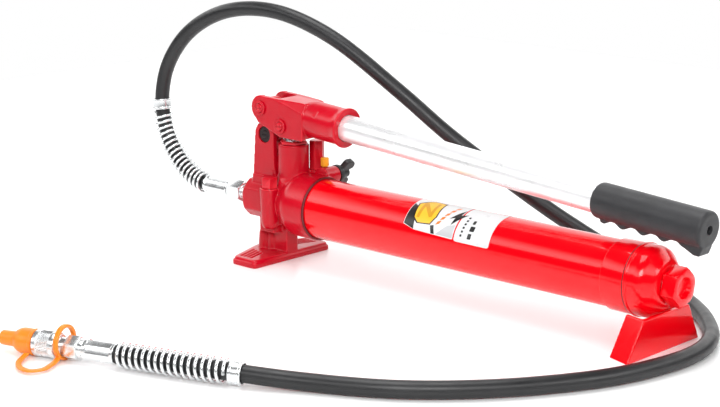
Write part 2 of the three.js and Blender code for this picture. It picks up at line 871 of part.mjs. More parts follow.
function cheekOutline() {
  const shape = new THREE.Shape();
  const start = THREE.MathUtils.degToRad(75);
  const end = THREE.MathUtils.degToRad(238);
  shape.moveTo(JOINT_X - 73.5, 139.6);
  shape.lineTo(JOINT_X - 50, 131.2);
  shape.lineTo(JOINT_X - 43, 128.4);
  shape.lineTo(JOINT_X - 13, 128);
  shape.lineTo(JOINT_X - 12, 129);
  shape.lineTo(JOINT_X - 12, 165);
  shape.absarc(LEVER_PIN_X, LEVER_PIN_Z, LOBE_R, start, end, false);
  shape.closePath();
  return shape;
}

// Everything on the handle's axis is drawn along +X from the socket's mouth, then tilted.
function ontoHandleAxis(made) {
  const geometry = geometryOf(made);
  geometry.rotateY(HANDLE_SLOPE);
  geometry.translate(HANDLE_AXIS_X, 0, HANDLE_AXIS_Z);
  return solid(geometry);
}

// What the slanted facet takes off the top of a cheek, beside the socket.
function facetCut(side) {
  const [start, end] = side < 0 ? [-20, 0] : [0, 20];
  const geometry = geometryOf(box(-20, 45, start, end, 0, 24));
  geometry.rotateX(side * FACET_LEAN);
  geometry.rotateY(FACET_SLOPE);
  geometry.translate(JOINT_X - 40, side * LEVER_HALF_WIDTH, 163);
  return solid(geometry);
}

function leverSocket() {
  const cheeks = [-1, 1].map((side) => {
    const inner = side * (LEVER_HALF_WIDTH - CHEEK);
    const outer = side * LEVER_HALF_WIDTH;
    return sidePlate(cheekOutline(), Math.min(inner, outer), Math.max(inner, outer), 9);
  });
  const web = sidePlate(
    roundedOutline(
      [
        [JOINT_X - 50, 151.6],
        [JOINT_X - 31, 151.6],
        [JOINT_X - 28, 129],
        [JOINT_X - 12.5, 129],
        [JOINT_X - 12.5, 164.6],
        [JOINT_X - 50, 165.9],
      ],
      2,
    ),
    -LEVER_HALF_WIDTH + 1,
    LEVER_HALF_WIDTH - 1,
  );
  const socket = ontoHandleAxis(
    turned(
      [
        [-72, 0],
        [-72, 10],
        [-46, SOCKET_R],
        [-6, SOCKET_R],
        [0, SOCKET_R + 0.6],
        [0, 0],
      ],
      "x",
      [0, 0, 0],
      32,
    ),
  );
  const pocket = join(
    rod("y", [PUMP_X, 0, PLUNGER_PIN_Z], -13, 13, 11.4, undefined, 28),
    box(JOINT_X - 100, PUMP_X, -13, 13, 100, 151),
    rod("y", [LEVER_PIN_X, 0, LEVER_PIN_Z], -13, 13, 14, undefined, 28),
  );
  const bore = ontoHandleAxis(
    rod("x", [0, 0, 0], -SOCKET_DEPTH, 1, SOCKET_BORE_R, undefined, 28),
  );
  const holes = [
    [LEVER_PIN_X, LEVER_PIN_Z],
    [PUMP_X, PLUNGER_PIN_Z],
  ].map(([x, z]) => rod("y", [x, 0, z], -25, 25, PIN_R + GAP, undefined, 28));
  const whole = join(cut(join(web, socket), pocket), ...cheeks);
  return cut(whole, bore, ...holes, facetCut(-1), facetCut(1));
}

function crossPin(x, z, halfLength) {
  return turned(
    [
      [-halfLength, 0],
      [-halfLength, PIN_R - 0.8],
      [0.8 - halfLength, PIN_R],
      [halfLength - 0.8, PIN_R],
      [halfLength, PIN_R - 0.8],
      [halfLength, 0],
    ],
    "y",
    [x, 0, z],
    28,
  );
}

function retainingRing(x, z, side, face) {
  const near = face + GAP;
  const far = near + 1.6;
  const [start, end] = side < 0 ? [-far, -near] : [near, far];
  return ring("y", [x, 0, z], start, end, PIN_R + GAP, 7.4, 16);
}

place("lever_socket", leverSocket(), paint);
place("lever_pin", crossPin(LEVER_PIN_X, LEVER_PIN_Z, LEVER_HALF_WIDTH + 3), paint);
place("plunger_pin", crossPin(PUMP_X, PLUNGER_PIN_Z, LEVER_HALF_WIDTH + 3), paint);
const postPin = crossPin(POST_PIN_X, LEVER_PIN_Z - LINK_LENGTH, POST_HALF_WIDTH - 0.2);
const postPinHeads = [-1, 1].map((side) => postPinDisc(side, 9.5, 11, 7.9));
place("post_pin", join(postPin, ...postPinHeads), steel);
[
  ["lever_pin_ring", LEVER_PIN_X, LEVER_PIN_Z],
  ["plunger_pin_ring", PUMP_X, PLUNGER_PIN_Z],
].forEach(([name, x, z]) => {
  place(`${name}_near`, retainingRing(x, z, -1, LEVER_HALF_WIDTH), paint);
  place(`${name}_far`, retainingRing(x, z, 1, LEVER_HALF_WIDTH), paint);
});

// ---------------------------------------------------------------- handle

const handleAxis = new THREE.Group();
handleAxis.position.set(HANDLE_AXIS_X, 0, HANDLE_AXIS_Z);
handleAxis.rotation.y = HANDLE_SLOPE;
pump.add(handleAxis);

// Finger scallops along the underside, and a guard lobe at the free end.
function gripKeel() {
  const pitch = 21;
  const shape = new THREE.Shape();
  const end = GRIP_START + GRIP_LENGTH;
  shape.moveTo(GRIP_START + 6, 0);
  shape.lineTo(GRIP_START + 8, -17);
  for (let finger = 0; finger < 4; finger += 1) {
    const from = GRIP_START + 10 + finger * pitch;
    shape.quadraticCurveTo(from + pitch / 2, -14.5, from + pitch, -18);
  }
  shape.lineTo(end - 9, -22.5);
  shape.lineTo(end - 3, -22.5);
  shape.lineTo(end - 0.5, -15);
  shape.lineTo(end - 0.5, 0);
  shape.closePath();
  return sidePlate(shape, -8, 8, 6);
}

function gripPiece() {
  const end = GRIP_START + GRIP_LENGTH;
  const core = turned(
    [
      [GRIP_START, 0],
      [GRIP_START, 14.5],
      [GRIP_START + 2, 16],
      [end - 2, GRIP_R - 0.5],
      [end, GRIP_R - 2],
      [end, 0],
    ],
    "x",
    [0, 0, 0],
    32,
  );
  const bore = rod("x", [0, 0, 0], GRIP_START - 1, end - 4, HANDLE_R + GAP, undefined, 32);
  const vent = rod("x", [0, 0, 0], end - 6, end + 1, 3.2, undefined, 4);
  return cut(join(core, gripKeel()), bore, vent);
}

place(
  "handle_tube",
  ring(
    "x",
    [0, 0, 0],
    -HANDLE_INSERT,
    GRIP_START + GRIP_LENGTH - 4 - GAP,
    HANDLE_R - HANDLE_WALL,
    HANDLE_R,
    28,
  ),
  zinc,
  handleAxis,
);
place("grip", gripPiece(), gripRubber, handleAxis);

// ---------------------------------------------------------------- release valve

const knobAt = [KNOB_X, 0, KNOB_Z];

function knobPiece() {
  const boss = turned(
    [
      [28.5, 0],
      [28.5, 9.5],
      [33, 9.5],
      [35, 6],
      [45, 5],
      [46, 0],
    ],
    "y",
    knobAt,
    24,
  );
  const wing = new THREE.Shape();
  wing.moveTo(-6, 33);
  wing.lineTo(6, 33);
  wing.quadraticCurveTo(15, 38, 14, 48);
  wing.quadraticCurveTo(11, 53, 7, 48);
  wing.quadraticCurveTo(0, 42, -7, 48);
  wing.quadraticCurveTo(-11, 53, -14, 48);
  wing.quadraticCurveTo(-15, 38, -6, 33);
  const geometry = geometryOf(floorPlate(wing, -3, 3, 5));
  geometry.rotateY(THREE.MathUtils.degToRad(-62));
  geometry.translate(KNOB_X, 0, KNOB_Z);
  const shaftHole = rod("y", knobAt, 20, 40, 3.5 + GAP, undefined, 20);
  return cut(join(boss, solid(geometry)), shaftHole);
}

place("release_spindle", join(
  rod("y", knobAt, 19.6, 27.5, 4.9, undefined, 20),
  rod("y", knobAt, 27, 39, 3.5, undefined, 20),
), steel);
place("release_knob", knobPiece(), blackPlastic);

// ---------------------------------------------------------------- hose

const hoseCurve = new THREE.CatmullRomCurve3(
  HOSE_ROUTE.map((point) => new THREE.Vector3(...point)),
  false,
  "centripetal",
);
hoseCurve.arcLengthDivisions = 2000;
const hoseLength = hoseCurve.getLength();
const headFerruleEnd = PORT_FACE_X - NIPPLE_LENGTH - HOSE_NUT_LENGTH - FERRULE_LENGTH;

function outletNipple() {
  const at = [0, 0, PORT_Z];
  const neck = rod("x", at, PORT_FACE_X - NIPPLE_LENGTH, PORT_FACE_X - GAP, 8.4, undefined, 24);
  const stub = rod("x", at, PORT_FACE_X - 1, PORT_FACE_X + 12, PORT_R - 0.4, undefined, 24);
  return cut(join(neck, stub), rod("x", at, PORT_FACE_X - 20, PORT_FACE_X + 14, 3, undefined, 12));
}

function hoseNut() {
  const at = [0, 0, PORT_Z];
  const inner = PORT_FACE_X - NIPPLE_LENGTH - GAP;
  const outer = inner - HOSE_NUT_LENGTH + 2 * GAP;
  const hex = hexRod("x", at, outer, inner, HOSE_NUT_FLATS);
  return cut(hex, rod("x", at, outer - 1, inner + 1, 3, undefined, 12));
}

function ferrule(length) {
  return turned(
    [
      [0, HOSE_R + 2 * GAP],
      [0, FERRULE_R - 0.8],
      [0.8, FERRULE_R],
      [length - 0.8, FERRULE_R],
      [length, FERRULE_R - 0.8],
      [length, 3],
      [FERRULE_SOCKET, 3],
      [FERRULE_SOCKET, HOSE_R + 2 * GAP],
      [0, HOSE_R + 2 * GAP],
    ],
    "x",
    [0, 0, 0],
    24,
  );
}

// A piece drawn along +X from a distance along the hose, put in place there.
function alongHose(made, distance) {
  const middle = hoseCurve.getPointAt(distance / hoseLength);
  const along = hoseCurve.getTangentAt(distance / hoseLength);
  const turn = new THREE.Quaternion().setFromUnitVectors(new THREE.Vector3(1, 0, 0), along);
  const geometry = geometryOf(made);
  geometry.applyQuaternion(turn);
  geometry.translate(middle.x, middle.y, middle.z);
  return geometry;
}

function guardSpring(start) {
  const helix = new HelixAlong(hoseCurve, start, GUARD_LENGTH, GUARD_TURNS, GUARD_R);
  return swept(circleOutline(GUARD_WIRE_R, 4), helix, Math.round(GUARD_TURNS * 8));
}

function endCollar() {
  return ring("x", [0, 0, 0], 0, END_COLLAR_LENGTH, END_COLLAR_BORE, END_COLLAR_R, 24);
}

const guardStart = FERRULE_SOCKET + 2.4;
const collarStart = guardStart + GUARD_LENGTH + 2.4;

place("outlet_nipple", outletNipple(), zinc);
place("hose_nut", hoseNut(), zinc);
const headFerrule = place("ferrule_head", ferrule(FERRULE_LENGTH - GAP), zinc);
headFerrule.position.set(headFerruleEnd, 0, PORT_Z);
place("hose", swept(circleOutline(HOSE_R, 8), hoseCurve, 80), blackRubber);
place("guard_spring_head", guardSpring(guardStart), zinc);
place("end_collar_head", alongHose(endCollar(), collarStart), zinc);
place("guard_spring_coupler", guardSpring(hoseLength - guardStart - GUARD_LENGTH), zinc);
place(
  "end_collar_coupler",
  alongHose(endCollar(), hoseLength - collarStart - END_COLLAR_LENGTH),
  zinc,
);

// ---------------------------------------------------------------- coupler

// Drawn along +X from the end of the hose to the nose of the dust cap.
const coupler = new THREE.Group();
coupler.position.copy(COUPLER_END);
coupler.rotation.z = COUPLER_HEADING;
pump.add(coupler);

function couplerBody() {
  const at = [0, 0, 0];
  const turnedPart = turned(
    [
      [COUPLER_FERRULE + GAP, 3],
      [COUPLER_FERRULE + GAP, FERRULE_R - 0.8],
      [HEX_START + 0.4, 8.6],
      [HEX_END - 0.4, 8.6],
      [HEX_END + 0.6, 7.9],
      [SLEEVE_START - 2.6, 7.9],
      [SLEEVE_START - 2.4, 9.4],
      [SLEEVE_START - 0.4, 9.4],
      [SLEEVE_START - 0.2, SPIGOT_R],
      [SLEEVE_END + 9, SPIGOT_R],
      [SLEEVE_END + 10, SPIGOT_R - 1],
      [SLEEVE_END + 10, 3],
      [COUPLER_FERRULE + GAP, 3],
    ],
    "x",
    at,
    24,
  );
  const hex = cut(
    hexRod("x", at, HEX_START, HEX_END, 19),
    rod("x", at, HEX_START - 1, HEX_END + 1, 4, undefined, 20),
  );
  return join(turnedPart, hex);
}

function couplerSleeve() {
  return turned(
    [
      [SLEEVE_START, SPIGOT_R + GAP],
      [SLEEVE_START, COUPLER_R - 1],
      [SLEEVE_START + 1, COUPLER_R],
      [SLEEVE_START + 5, COUPLER_R],
      [SLEEVE_START + 5.6, COUPLER_R - 0.8],
      [SLEEVE_END - 3.6, COUPLER_R - 0.8],
      [SLEEVE_END - 3, COUPLER_R],
      [SLEEVE_END, COUPLER_R],
      [SLEEVE_END, SPIGOT_R + GAP],
      [SLEEVE_START, SPIGOT_R + GAP],
    ],
    "x",
    [0, 0, 0],
    24,
  );
}

function dustCap() {
  return turned(
    [
      [SLEEVE_END + 12, 0],
      [SLEEVE_END + 12, SPIGOT_R + GAP],
      [SLEEVE_END + 0.6, SPIGOT_R + GAP],
      [SLEEVE_END + 0.6, COUPLER_R],
      [CAP_END - 2, COUPLER_R - 0.4],
      [CAP_END, COUPLER_R - 2.2],
      [CAP_END + 0.4, 6.7],
      [NOSE_END - 1, 6.4],
      [NOSE_END, 5.2],
      [NOSE_END, 0],
    ],
    "x",
    [0, 0, 0],
    28,
  );
}

// A loose ring round the coupler's neck and a strap that runs from it to the cap.
function capStrap() {
  const inner = 12.4;
  const outer = 15.3;
  const lift = outer + 0.3 - COUPLER_END.z;
  const loop = ring("x", [0, 0, lift], 49.6, 53.6, inner, outer, 32);
  const route = [
    [51.4, 9.6, -6.2],
    [50.6, 16, -8.3],
    [48.6, 27, -8.6],
    [48.6, 38, -8.6],
    [56, 45.5, -8.6],
    [68, 42, -8.6],
    [77, 31, -8.2],
    [80.5, 19, -7.6],
    [81, 13.4, -6.6],
  ];
  const curve = new THREE.CatmullRomCurve3(
    route.map((point) => new THREE.Vector3(...point)),
    false,
    "centripetal",
  );
  const section = outline([
    [-1, -2.4],
    [1, -2.4],
    [1, 2.4],
    [-1, 2.4],
  ]);
  return join(loop, solid(swept(section, curve, 26)));
}

place("ferrule_coupler", ferrule(COUPLER_FERRULE), zinc, coupler);
place("coupler_body", couplerBody(), zinc, coupler);
place("coupler_sleeve", couplerSleeve(), zinc, coupler);
place("dust_cap", dustCap(), orangeRubber, coupler);
place("cap_strap", capStrap(), orangeRubber, coupler);

export default pump;
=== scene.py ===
"""Looks of the hydraulic hand pump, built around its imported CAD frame.

The row frame is the CAD's: +X runs from the pump head to the end cap, +Z is up, and the origin is
on the floor. Shapes are written in millimetres, as in the CAD source, and made in metres.
"""

import math

import bmesh
import bpy
from mathutils import Matrix, Vector


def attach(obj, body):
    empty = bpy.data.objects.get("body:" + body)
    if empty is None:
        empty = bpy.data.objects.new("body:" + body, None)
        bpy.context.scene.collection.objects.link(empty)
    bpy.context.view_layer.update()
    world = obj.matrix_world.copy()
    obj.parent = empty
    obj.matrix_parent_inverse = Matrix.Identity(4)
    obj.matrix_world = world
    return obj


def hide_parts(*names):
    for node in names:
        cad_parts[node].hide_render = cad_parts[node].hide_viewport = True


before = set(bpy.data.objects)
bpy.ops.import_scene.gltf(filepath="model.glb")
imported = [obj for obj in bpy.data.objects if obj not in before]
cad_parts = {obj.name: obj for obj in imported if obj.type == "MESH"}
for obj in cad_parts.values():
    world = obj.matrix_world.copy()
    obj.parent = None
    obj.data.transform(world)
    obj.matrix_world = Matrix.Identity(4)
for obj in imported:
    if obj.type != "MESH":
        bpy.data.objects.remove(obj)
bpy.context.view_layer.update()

MM = 0.001

# ---------------------------------------------------------------- dimensions shared with the CAD

JOINT_X = -166.3
AXIS_Z = 59.5
TUBE_R = 30.0
SEAM_X = JOINT_X + 380
COLLAR_LENGTH = 24.0
CAP_R = 31.8
CAP_BEAD = 0.9
CAP_LENGTH = 26.5
PLUG_SEAT = SEAM_X + CAP_LENGTH + 2
BARREL_R = 32.0
PUMP_X = JOINT_X - 42
CYLINDER_R = 15.5
CYLINDER_TOP = 120.0
BODY_TOP = 84.0
PORT_FACE_X = JOINT_X - 97
PORT_Z = AXIS_Z - 0.5
PORT_HALF = 19.0
PORT_CHAMFER = 8.5
VALVE_X = JOINT_X - 55.2
VALVE_Y = -21.0
VALVE_R = 10.0
VALVE_SEAT = 76.0
POST_HALF_WIDTH = 12.0
NIPPLE_LENGTH = 15.0
HOSE_NUT_LENGTH = 19.5
KNOB_X = JOINT_X - 12
KNOB_Z = 88.0
SAFETY_X = JOINT_X - 28
SAFETY_Y = 19.0
SAFETY_Z = 93.0
VENT_X = JOINT_X - 14.5
VENT_Y = 16.5
VENT_Z = 98.0
PLUNGER_R = 9.0
PLUNGER_PIN_Z = 139.5
PIN_R = 4.5
LEVER_PIN_X = JOINT_X - 70
LEVER_PIN_Z = 154.5
LEVER_HALF_WIDTH = 18.5
CHEEK = 5.5
LOBE_R = 12.7
PIN_RING_R = 7.4
PIN_CLIP_R = 7.8
POST_RECESS_R = 8.4
LINK_HALF_WIDTH = 6
LINK_TOP_R = 9.4
LINK_EYE_R = 8.4
TONGUE_HALF_WIDTH = 6.9
POST_PIN_X = LEVER_PIN_X - 1.4
POST_PIN_Z = LEVER_PIN_Z - 28.1
HANDLE_SLOPE = math.radians(4.37)
HANDLE_AXIS = Vector((JOINT_X + 32, 0, 144.7))
SOCKET_R = 18.2
SOCKET_BORE_R = 13.5
HANDLE_R = 13.0
GRIP_START = 300.0
GRIP_END = GRIP_START + 112.7
HOSE_R = 7.5
FERRULE_R = 9.5
FERRULE_LENGTH = 36.2
FERRULE_SOCKET = 5.0
GUARD_R = 9.7
GUARD_WIRE_R = 1.45
GUARD_TURNS = 16.5
GUARD_LENGTH = 102.0
COLLAR_R = 10.4
END_COLLAR_LENGTH = 11.0
COUPLER_END = Vector((-70.3, -347.3, 11.8))
COUPLER_HEADING = math.radians(198)
COUPLER_R = 11.5

# Middle of the hose, from the pump's outlet to the coupler, as in the CAD source but in metres.
HOSE_ROUTE = [
    (-0.3306, 0, 0.059), (-0.3360, 0, 0.059), (-0.3430, 0, 0.0600), (-0.3557, 0, 0.0642),
    (-0.3685, 0, 0.0712), (-0.3798, 0, 0.0803), (-0.3894, 0, 0.0915), (-0.3972, 0, 0.1046),
    (-0.4020, 0, 0.1189), (-0.4043, 0, 0.1340), (-0.4037, 0.0006, 0.1525),
    (-0.3961, 0.002, 0.1780), (-0.3729, 0.005, 0.2095), (-0.3387, 0.010, 0.2327),
    (-0.2984, 0.016, 0.2446), (-0.2500, 0.026, 0.2436), (-0.1962, 0.043, 0.2226),
    (-0.1272, 0.068, 0.1724), (-0.0799, 0.086, 0.1340), (-0.0259, 0.101, 0.0995),
    (0.0275, 0.112, 0.0700), (0.0687, 0.120, 0.0500), (0.1037, 0.126, 0.0345),
    (0.1387, 0.128, 0.0205), (0.1657, 0.124, 0.0116), (0.1880, 0.114, 0.0086),
    (0.2110, 0.096, 0.0080), (0.2350, 0.071, 0.0080), (0.2560, 0.043, 0.0080),
    (0.2690, 0.014, 0.0080), (0.2740, -0.016, 0.0080), (0.2720, -0.050, 0.0080),
    (0.2630, -0.092, 0.0080), (0.2460, -0.133, 0.0080), (0.2064, -0.194, 0.0080),
    (0.1520, -0.2472, 0.0080), (0.0840, -0.2853, 0.0083), (0.0300, -0.3146, 0.0114),
    (-0.0655, -0.3458, 0.0118), (-0.0748, -0.3488, 0.0118),
]

# ---------------------------------------------------------------- camera

CAMERA_AZIMUTH = math.radians(42.9)
CAMERA_PITCH = math.radians(13.3)
CAMERA_DISTANCE = 1.8431
CAMERA_TARGET = Vector((-0.1179, 0, 0.0727))


def make_camera():
    """Stands on the near right of the pump, a little above it, and looks down at it."""
    data = bpy.data.cameras.new("camera")
    data.sensor_width = 36.0
    data.lens = 95.0
    data.clip_end = 50.0
    camera = bpy.data.objects.new("camera", data)
    bpy.context.scene.collection.objects.link(camera)
    level = math.cos(CAMERA_PITCH)
    ahead = math.cos(CAMERA_AZIMUTH) * level
    look = Vector((-math.sin(CAMERA_AZIMUTH) * level, ahead, -math.sin(CAMERA_PITCH)))
    camera.location = CAMERA_TARGET - look * CAMERA_DISTANCE
    camera.rotation_mode = "QUATERNION"
    camera.rotation_quaternion = look.to_track_quat("-Z", "Y")
    bpy.context.scene.camera = camera


make_camera()

# ---------------------------------------------------------------- meshes


def linked(obj):
    bpy.context.scene.collection.objects.link(obj)
    return obj


def mesh_piece(name, points, faces):
    """A closed mesh from points in millimetres, with its faces turned outwards."""
    mesh = bpy.data.meshes.new(name)
    mesh.from_pydata([Vector(p) * MM for p in points], [], faces)
    work = bmesh.new()
    work.from_mesh(mesh)
    bmesh.ops.remove_doubles(work, verts=work.verts, dist=1e-7)
    bmesh.ops.recalc_face_normals(work, faces=work.faces)
    work.to_mesh(mesh)
    work.free()
    return linked(bpy.data.objects.new(name, mesh))


def rounded(points, radius, closed=True, steps=6):
    """A line of points with its corners rounded. A radius per point may be given as a list."""
    count = len(points)
    radii = radius if isinstance(radius, (list, tuple)) else [radius] * count
    made = []
    for i, point in enumerate(points):
        corner = Vector(point)
        if radii[i] <= 0 or (not closed and i in (0, count - 1)):
            made.append(tuple(corner))
            continue
        before = Vector(points[i - 1]) - corner
        after = Vector(points[(i + 1) % count]) - corner
        reach = min(radii[i], 0.48 * before.length, 0.48 * after.length)
        enter = corner + before.normalized() * reach
        leave = corner + after.normalized() * reach
        for step in range(steps + 1):
            t = step / steps
            first = enter.lerp(corner, t)
            made.append(tuple(first.lerp(corner.lerp(leave, t), t)))
    return made


def on_axis(axis, at, along, across, upward):
    """A point from its place along an axis and its two places across it."""
    if axis == "x":
        return (at[0] + along, at[1] + across, at[2] + upward)
    if axis == "y":
        return (at[0] + upward, at[1] + along, at[2] + across)
    return (at[0] + across, at[1] + upward, at[2] + along)


def turned(name, profile, axis, at=(0, 0, 0), sides=128, phase=0.0):
    """A closed turned body from (along, radius) pairs that start and end on the axis, or close."""
    loop = profile[0] == profile[-1]
    rings = profile[:-1] if loop else profile
    points = []
    starts = []
    for along, radius in rings:
        starts.append(len(points))
        if radius < 1e-6:
            points.append(on_axis(axis, at, along, 0, 0))
            continue
        for k in range(sides):
            angle = 2 * math.pi * k / sides + phase
            across = radius * math.cos(angle)
            upward = radius * math.sin(angle)
            points.append(on_axis(axis, at, along, across, upward))
    faces = []
    count = len(rings)
    for i in range(count if loop else count - 1):
        a = starts[i]
        b = starts[(i + 1) % count]
        single_a = rings[i][1] < 1e-6
        single_b = rings[(i + 1) % count][1] < 1e-6
        if single_a and single_b:
            continue
        for k in range(sides):
            n = (k + 1) % sides
            if single_a:
                faces.append((a, b + n, b + k))
            elif single_b:
                faces.append((a + k, a + n, b))
            else:
                faces.append((a + k, a + n, b + n, b + k))
    return mesh_piece(name, points, faces)


def softly_turned(name, profile, radius, axis, at=(0, 0, 0), sides=128, steps=6):
    """A turned body whose profile has its corners rounded."""
    return turned(name, rounded(profile, radius, closed=False, steps=steps), axis, at, sides)


def rod(name, axis, at, start, end, radius, end_radius=None, sides=96):
    far = radius if end_radius is None else end_radius
    return turned(name, [(start, 0), (start, radius), (end, far), (end, 0)], axis, at, sides)


def skin(rings, sides, closed=True):
    """Faces between rings of points that follow each other. Closed joins the last to the first."""
    faces = []
    for ring in range(rings if closed else rings - 1):
        a = ring * sides
        b = (ring + 1) % rings * sides
        for k in range(sides):
            n = (k + 1) % sides
            faces.append((a + k, a + n, b + n, b + k))
    return faces


def uneven_tube(name, stations, sides, radius_at):
    """A closed tube along X. radius_at(station, k) gives its radius at the k-th point round it."""
    points = []
    for station in stations:
        for k in range(sides):
            angle = 2 * math.pi * k / sides
            radius = radius_at(station, k)
            points.append((station[0], radius * math.cos(angle), radius * math.sin(angle)))
    return mesh_piece(name, points, skin(len(stations), sides))


def ring_profile(start, end, inner, outer, edge):
    """A ring's section with its outer and inner edges rounded."""
    corners = [(start, inner), (start, outer), (end, outer), (end, inner)]
    made = rounded(corners, edge, steps=4)
    return made + [made[0]]


def prism(name, outline, axis, start, end):
    """A flat outline given thickness: in X and Z along y, in X and Y along z, in Y and Z along x."""
    count = len(outline)
    places = {
        "y": lambda a, b, along: (a, along, b),
        "z": lambda a, b, along: (a, b, along),
        "x": lambda a, b, along: (along, a, b),
    }
    place = places[axis]
    points = [place(a, b, start) for a, b in outline] + [place(a, b, end) for a, b in outline]
    faces = [tuple(range(count)), tuple(range(2 * count - 1, count - 1, -1))]
    return mesh_piece(name, points, faces + skin(2, count, closed=False))


def block(name, x0, x1, y0, y1, z0, z1):
    return prism(name, [(x0, y0), (x1, y0), (x1, y1), (x0, y1)], "z", z0, z1)


def tapered_block(name, z0, low, z1, high):
    """A block between two level quadrilaterals, each (x0, x1, half width at x0, half at x1)."""
    points = []
    for z, (x0, x1, front, back) in ((z0, low), (z1, high)):
        points += [(x0, -front, z), (x1, -back, z), (x1, back, z), (x0, front, z)]
    faces = [
        (0, 1, 2, 3), (4, 5, 6, 7), (0, 1, 5, 4), (1, 2, 6, 5), (2, 3, 7, 6), (3, 0, 4, 7),
    ]
    return mesh_piece(name, points, faces)


def applied(obj):
    """Its modifiers become part of its mesh."""
    graph = bpy.context.evaluated_depsgraph_get()
    mesh = bpy.data.meshes.new_from_object(obj.evaluated_get(graph))
    obj.modifiers.clear()
    obj.data = mesh
    return obj


def combine(body, tool, operation):
    modifier = body.modifiers.new("combine", "BOOLEAN")
    modifier.operation = operation
    modifier.solver = "MANIFOLD"
    modifier.object = tool
    applied(body)
    bpy.data.objects.remove(tool)
    return body


def joined(body, *others):
    for other in others:
        combine(body, other, "UNION")
    return body


def cut(body, *tools):
    for tool in tools:
        combine(body, tool, "DIFFERENCE")
    return body


def softened(obj, grain, passes):
    """Evens the mesh out and rounds every edge and corner a little, as a casting or moulding is."""
    even = obj.modifiers.new("even", "REMESH")
    even.mode = "VOXEL"
    even.voxel_size = grain * MM
    soft = obj.modifiers.new("soft", "SMOOTH")
    soft.factor = 0.5
    soft.iterations = passes
    return applied(obj)


def bevelled(obj, width, segments=3, angle=35):
    edge = obj.modifiers.new("edges", "BEVEL")
    edge.width = width * MM
    edge.segments = segments
    edge.limit_method = "ANGLE"
    edge.angle_limit = math.radians(angle)
    return applied(obj)


def finished(obj, body, look, nodes=(), sharp=40):
    """Shades a piece, gives it its material, ties it to its body, and hides the CAD nodes given with
    it.
    """
    if obj.type == "MESH":
        obj.data.shade_smooth()
        obj.data.set_sharp_from_angle(angle=math.radians(sharp))
    if not isinstance(look, list):
        obj.data.materials.clear()
        look = [look]
    for material in look:
        obj.data.materials.append(material)
    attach(obj, body)
    if nodes:
        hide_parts(*nodes)
    return obj


# ---------------------------------------------------------------- materials


class Nodes:
    """A node tree, built a node at a time."""

    def __init__(self, tree):
        self.nodes = tree.nodes
        self.links = tree.links

    def node(self, kind, inputs=None, **settings):
        made = self.nodes.new(kind)
        for setting, value in settings.items():
            setattr(made, setting, value)
        for socket, value in (inputs or {}).items():
            self.feed(made.inputs[socket], value)
        return made

    def feed(self, socket, value):
        """Links a socket to another, or gives it a value."""
        if isinstance(value, bpy.types.NodeSocket):
            self.links.new(value, socket)
        else:
            socket.default_value = value

    def between(self, value, low, high, start=0.3, end=0.7):
        """A value from start to end spread over low to high."""
        inputs = {"Value": value, "From Min": start, "From Max": end, "To Min": low, "To Max": high}
        return self.node("ShaderNodeMapRange", inputs).outputs["Result"]

    def mix(self, share, first, second):
        made = self.node("ShaderNodeMix", data_type="RGBA")
        self.links.new(share, made.inputs["Factor"])
        colours = [s for s in made.inputs if s.type == "RGBA"]
        for socket, value in zip(colours, (first, second)):
            self.feed(socket, (*value, 1) if isinstance(value, tuple) else value)
        return [s for s in made.outputs if s.type == "RGBA"][0]


class Look(Nodes):
    """A material. Keywords set the shader's own sockets, with _ for each space in their names."""

    def __init__(self, name, **sockets):
        self.material = bpy.data.materials.new(name)
        self.material.use_nodes = True
        super().__init__(self.material.node_tree)
        self.shader = self.nodes["Principled BSDF"]
        for socket, value in sockets.items():
            self.shader.inputs[socket.replace("_", " ")].default_value = value
        self.where = self.node("ShaderNodeTexCoord").outputs["Object"]

    def noise(self, scale, detail=3.0, stretch=None):
        place = self.where
        if stretch:
            mapping = self.node("ShaderNodeMapping", {"Vector": place, "Scale": stretch})
            place = mapping.outputs["Vector"]
        inputs = {"Vector": place, "Scale": scale, "Detail": detail}
        return self.node("ShaderNodeTexNoise", inputs).outputs["Fac"]

    def edges(self, start, end):
        """1 along convex edges, 0 elsewhere."""
        point = self.node("ShaderNodeNewGeometry").outputs["Pointiness"]
        return self.between(point, 0.0, 1.0, start, end)

    def colour(self, value):
        self.links.new(value, self.shader.inputs["Base Color"])

    def roughness(self, low, high, scale, detail=4.0, stretch=None):
        value = self.between(self.noise(scale, detail, stretch), low, high)
        self.links.new(value, self.shader.inputs["Roughness"])

    def bump(self, *layers):
        """Layers of (height socket, distance in mm), the last on top."""
        normal = None
        for height, distance in layers:
            inputs = {"Height": height, "Strength": 1.0, "Distance": distance * MM}
            made = self.node("ShaderNodeBump", inputs)
            if normal is not None:
                self.links.new(normal, made.inputs["Normal"])
            normal = made.outputs["Normal"]
        self.links.new(normal, self.shader.inputs["Normal"])


RED = (0.9, 0.0004, 0.006)
RED_DEEP = (0.8, 0.0003, 0.005)
CAST_RED = (0.56, 0.0006, 0.013)
CAST_DEEP = (0.42, 0.0004, 0.01)
# A lighter pink red for the convex edges of the cast paint: a painted highlight.
PAINTED_EDGE_HIGHLIGHT = (0.86, 0.05, 0.07)


def surface(name, colours, spread, rough, relief, stretch=None, **sockets):
    """A material whose colour, roughness and fine relief all vary a little over the piece.

    spread is the (scale, detail) of the colour's noise, rough is for Look.roughness, and relief
    is a list of (scale, detail, depth in mm).
    """
    look = Look(name, **sockets)
    shade = look.between(look.noise(*spread), 0.0, 1.0)
    look.colour(look.mix(shade, *colours))
    look.roughness(*rough, stretch=stretch)
    look.bump(*[(look.noise(scale, detail, stretch), depth) for scale, detail, depth in relief])
    return look.material


def scaled(colour, factor):
    return tuple(factor * c for c in colour)


def glossy_paint():
    coat = {"Coat_Weight": 0.6, "Coat_Roughness": 0.02, "Specular_IOR_Level": 0.08}
    relief = [(130.0, 1.0, 0.03), (700.0, 2.0, 0.006)]
    reds = (RED_DEEP, RED)
    return surface("glossy_red_paint", reds, (9.0, 3.0), (0.14, 0.24, 40.0), relief, **coat)


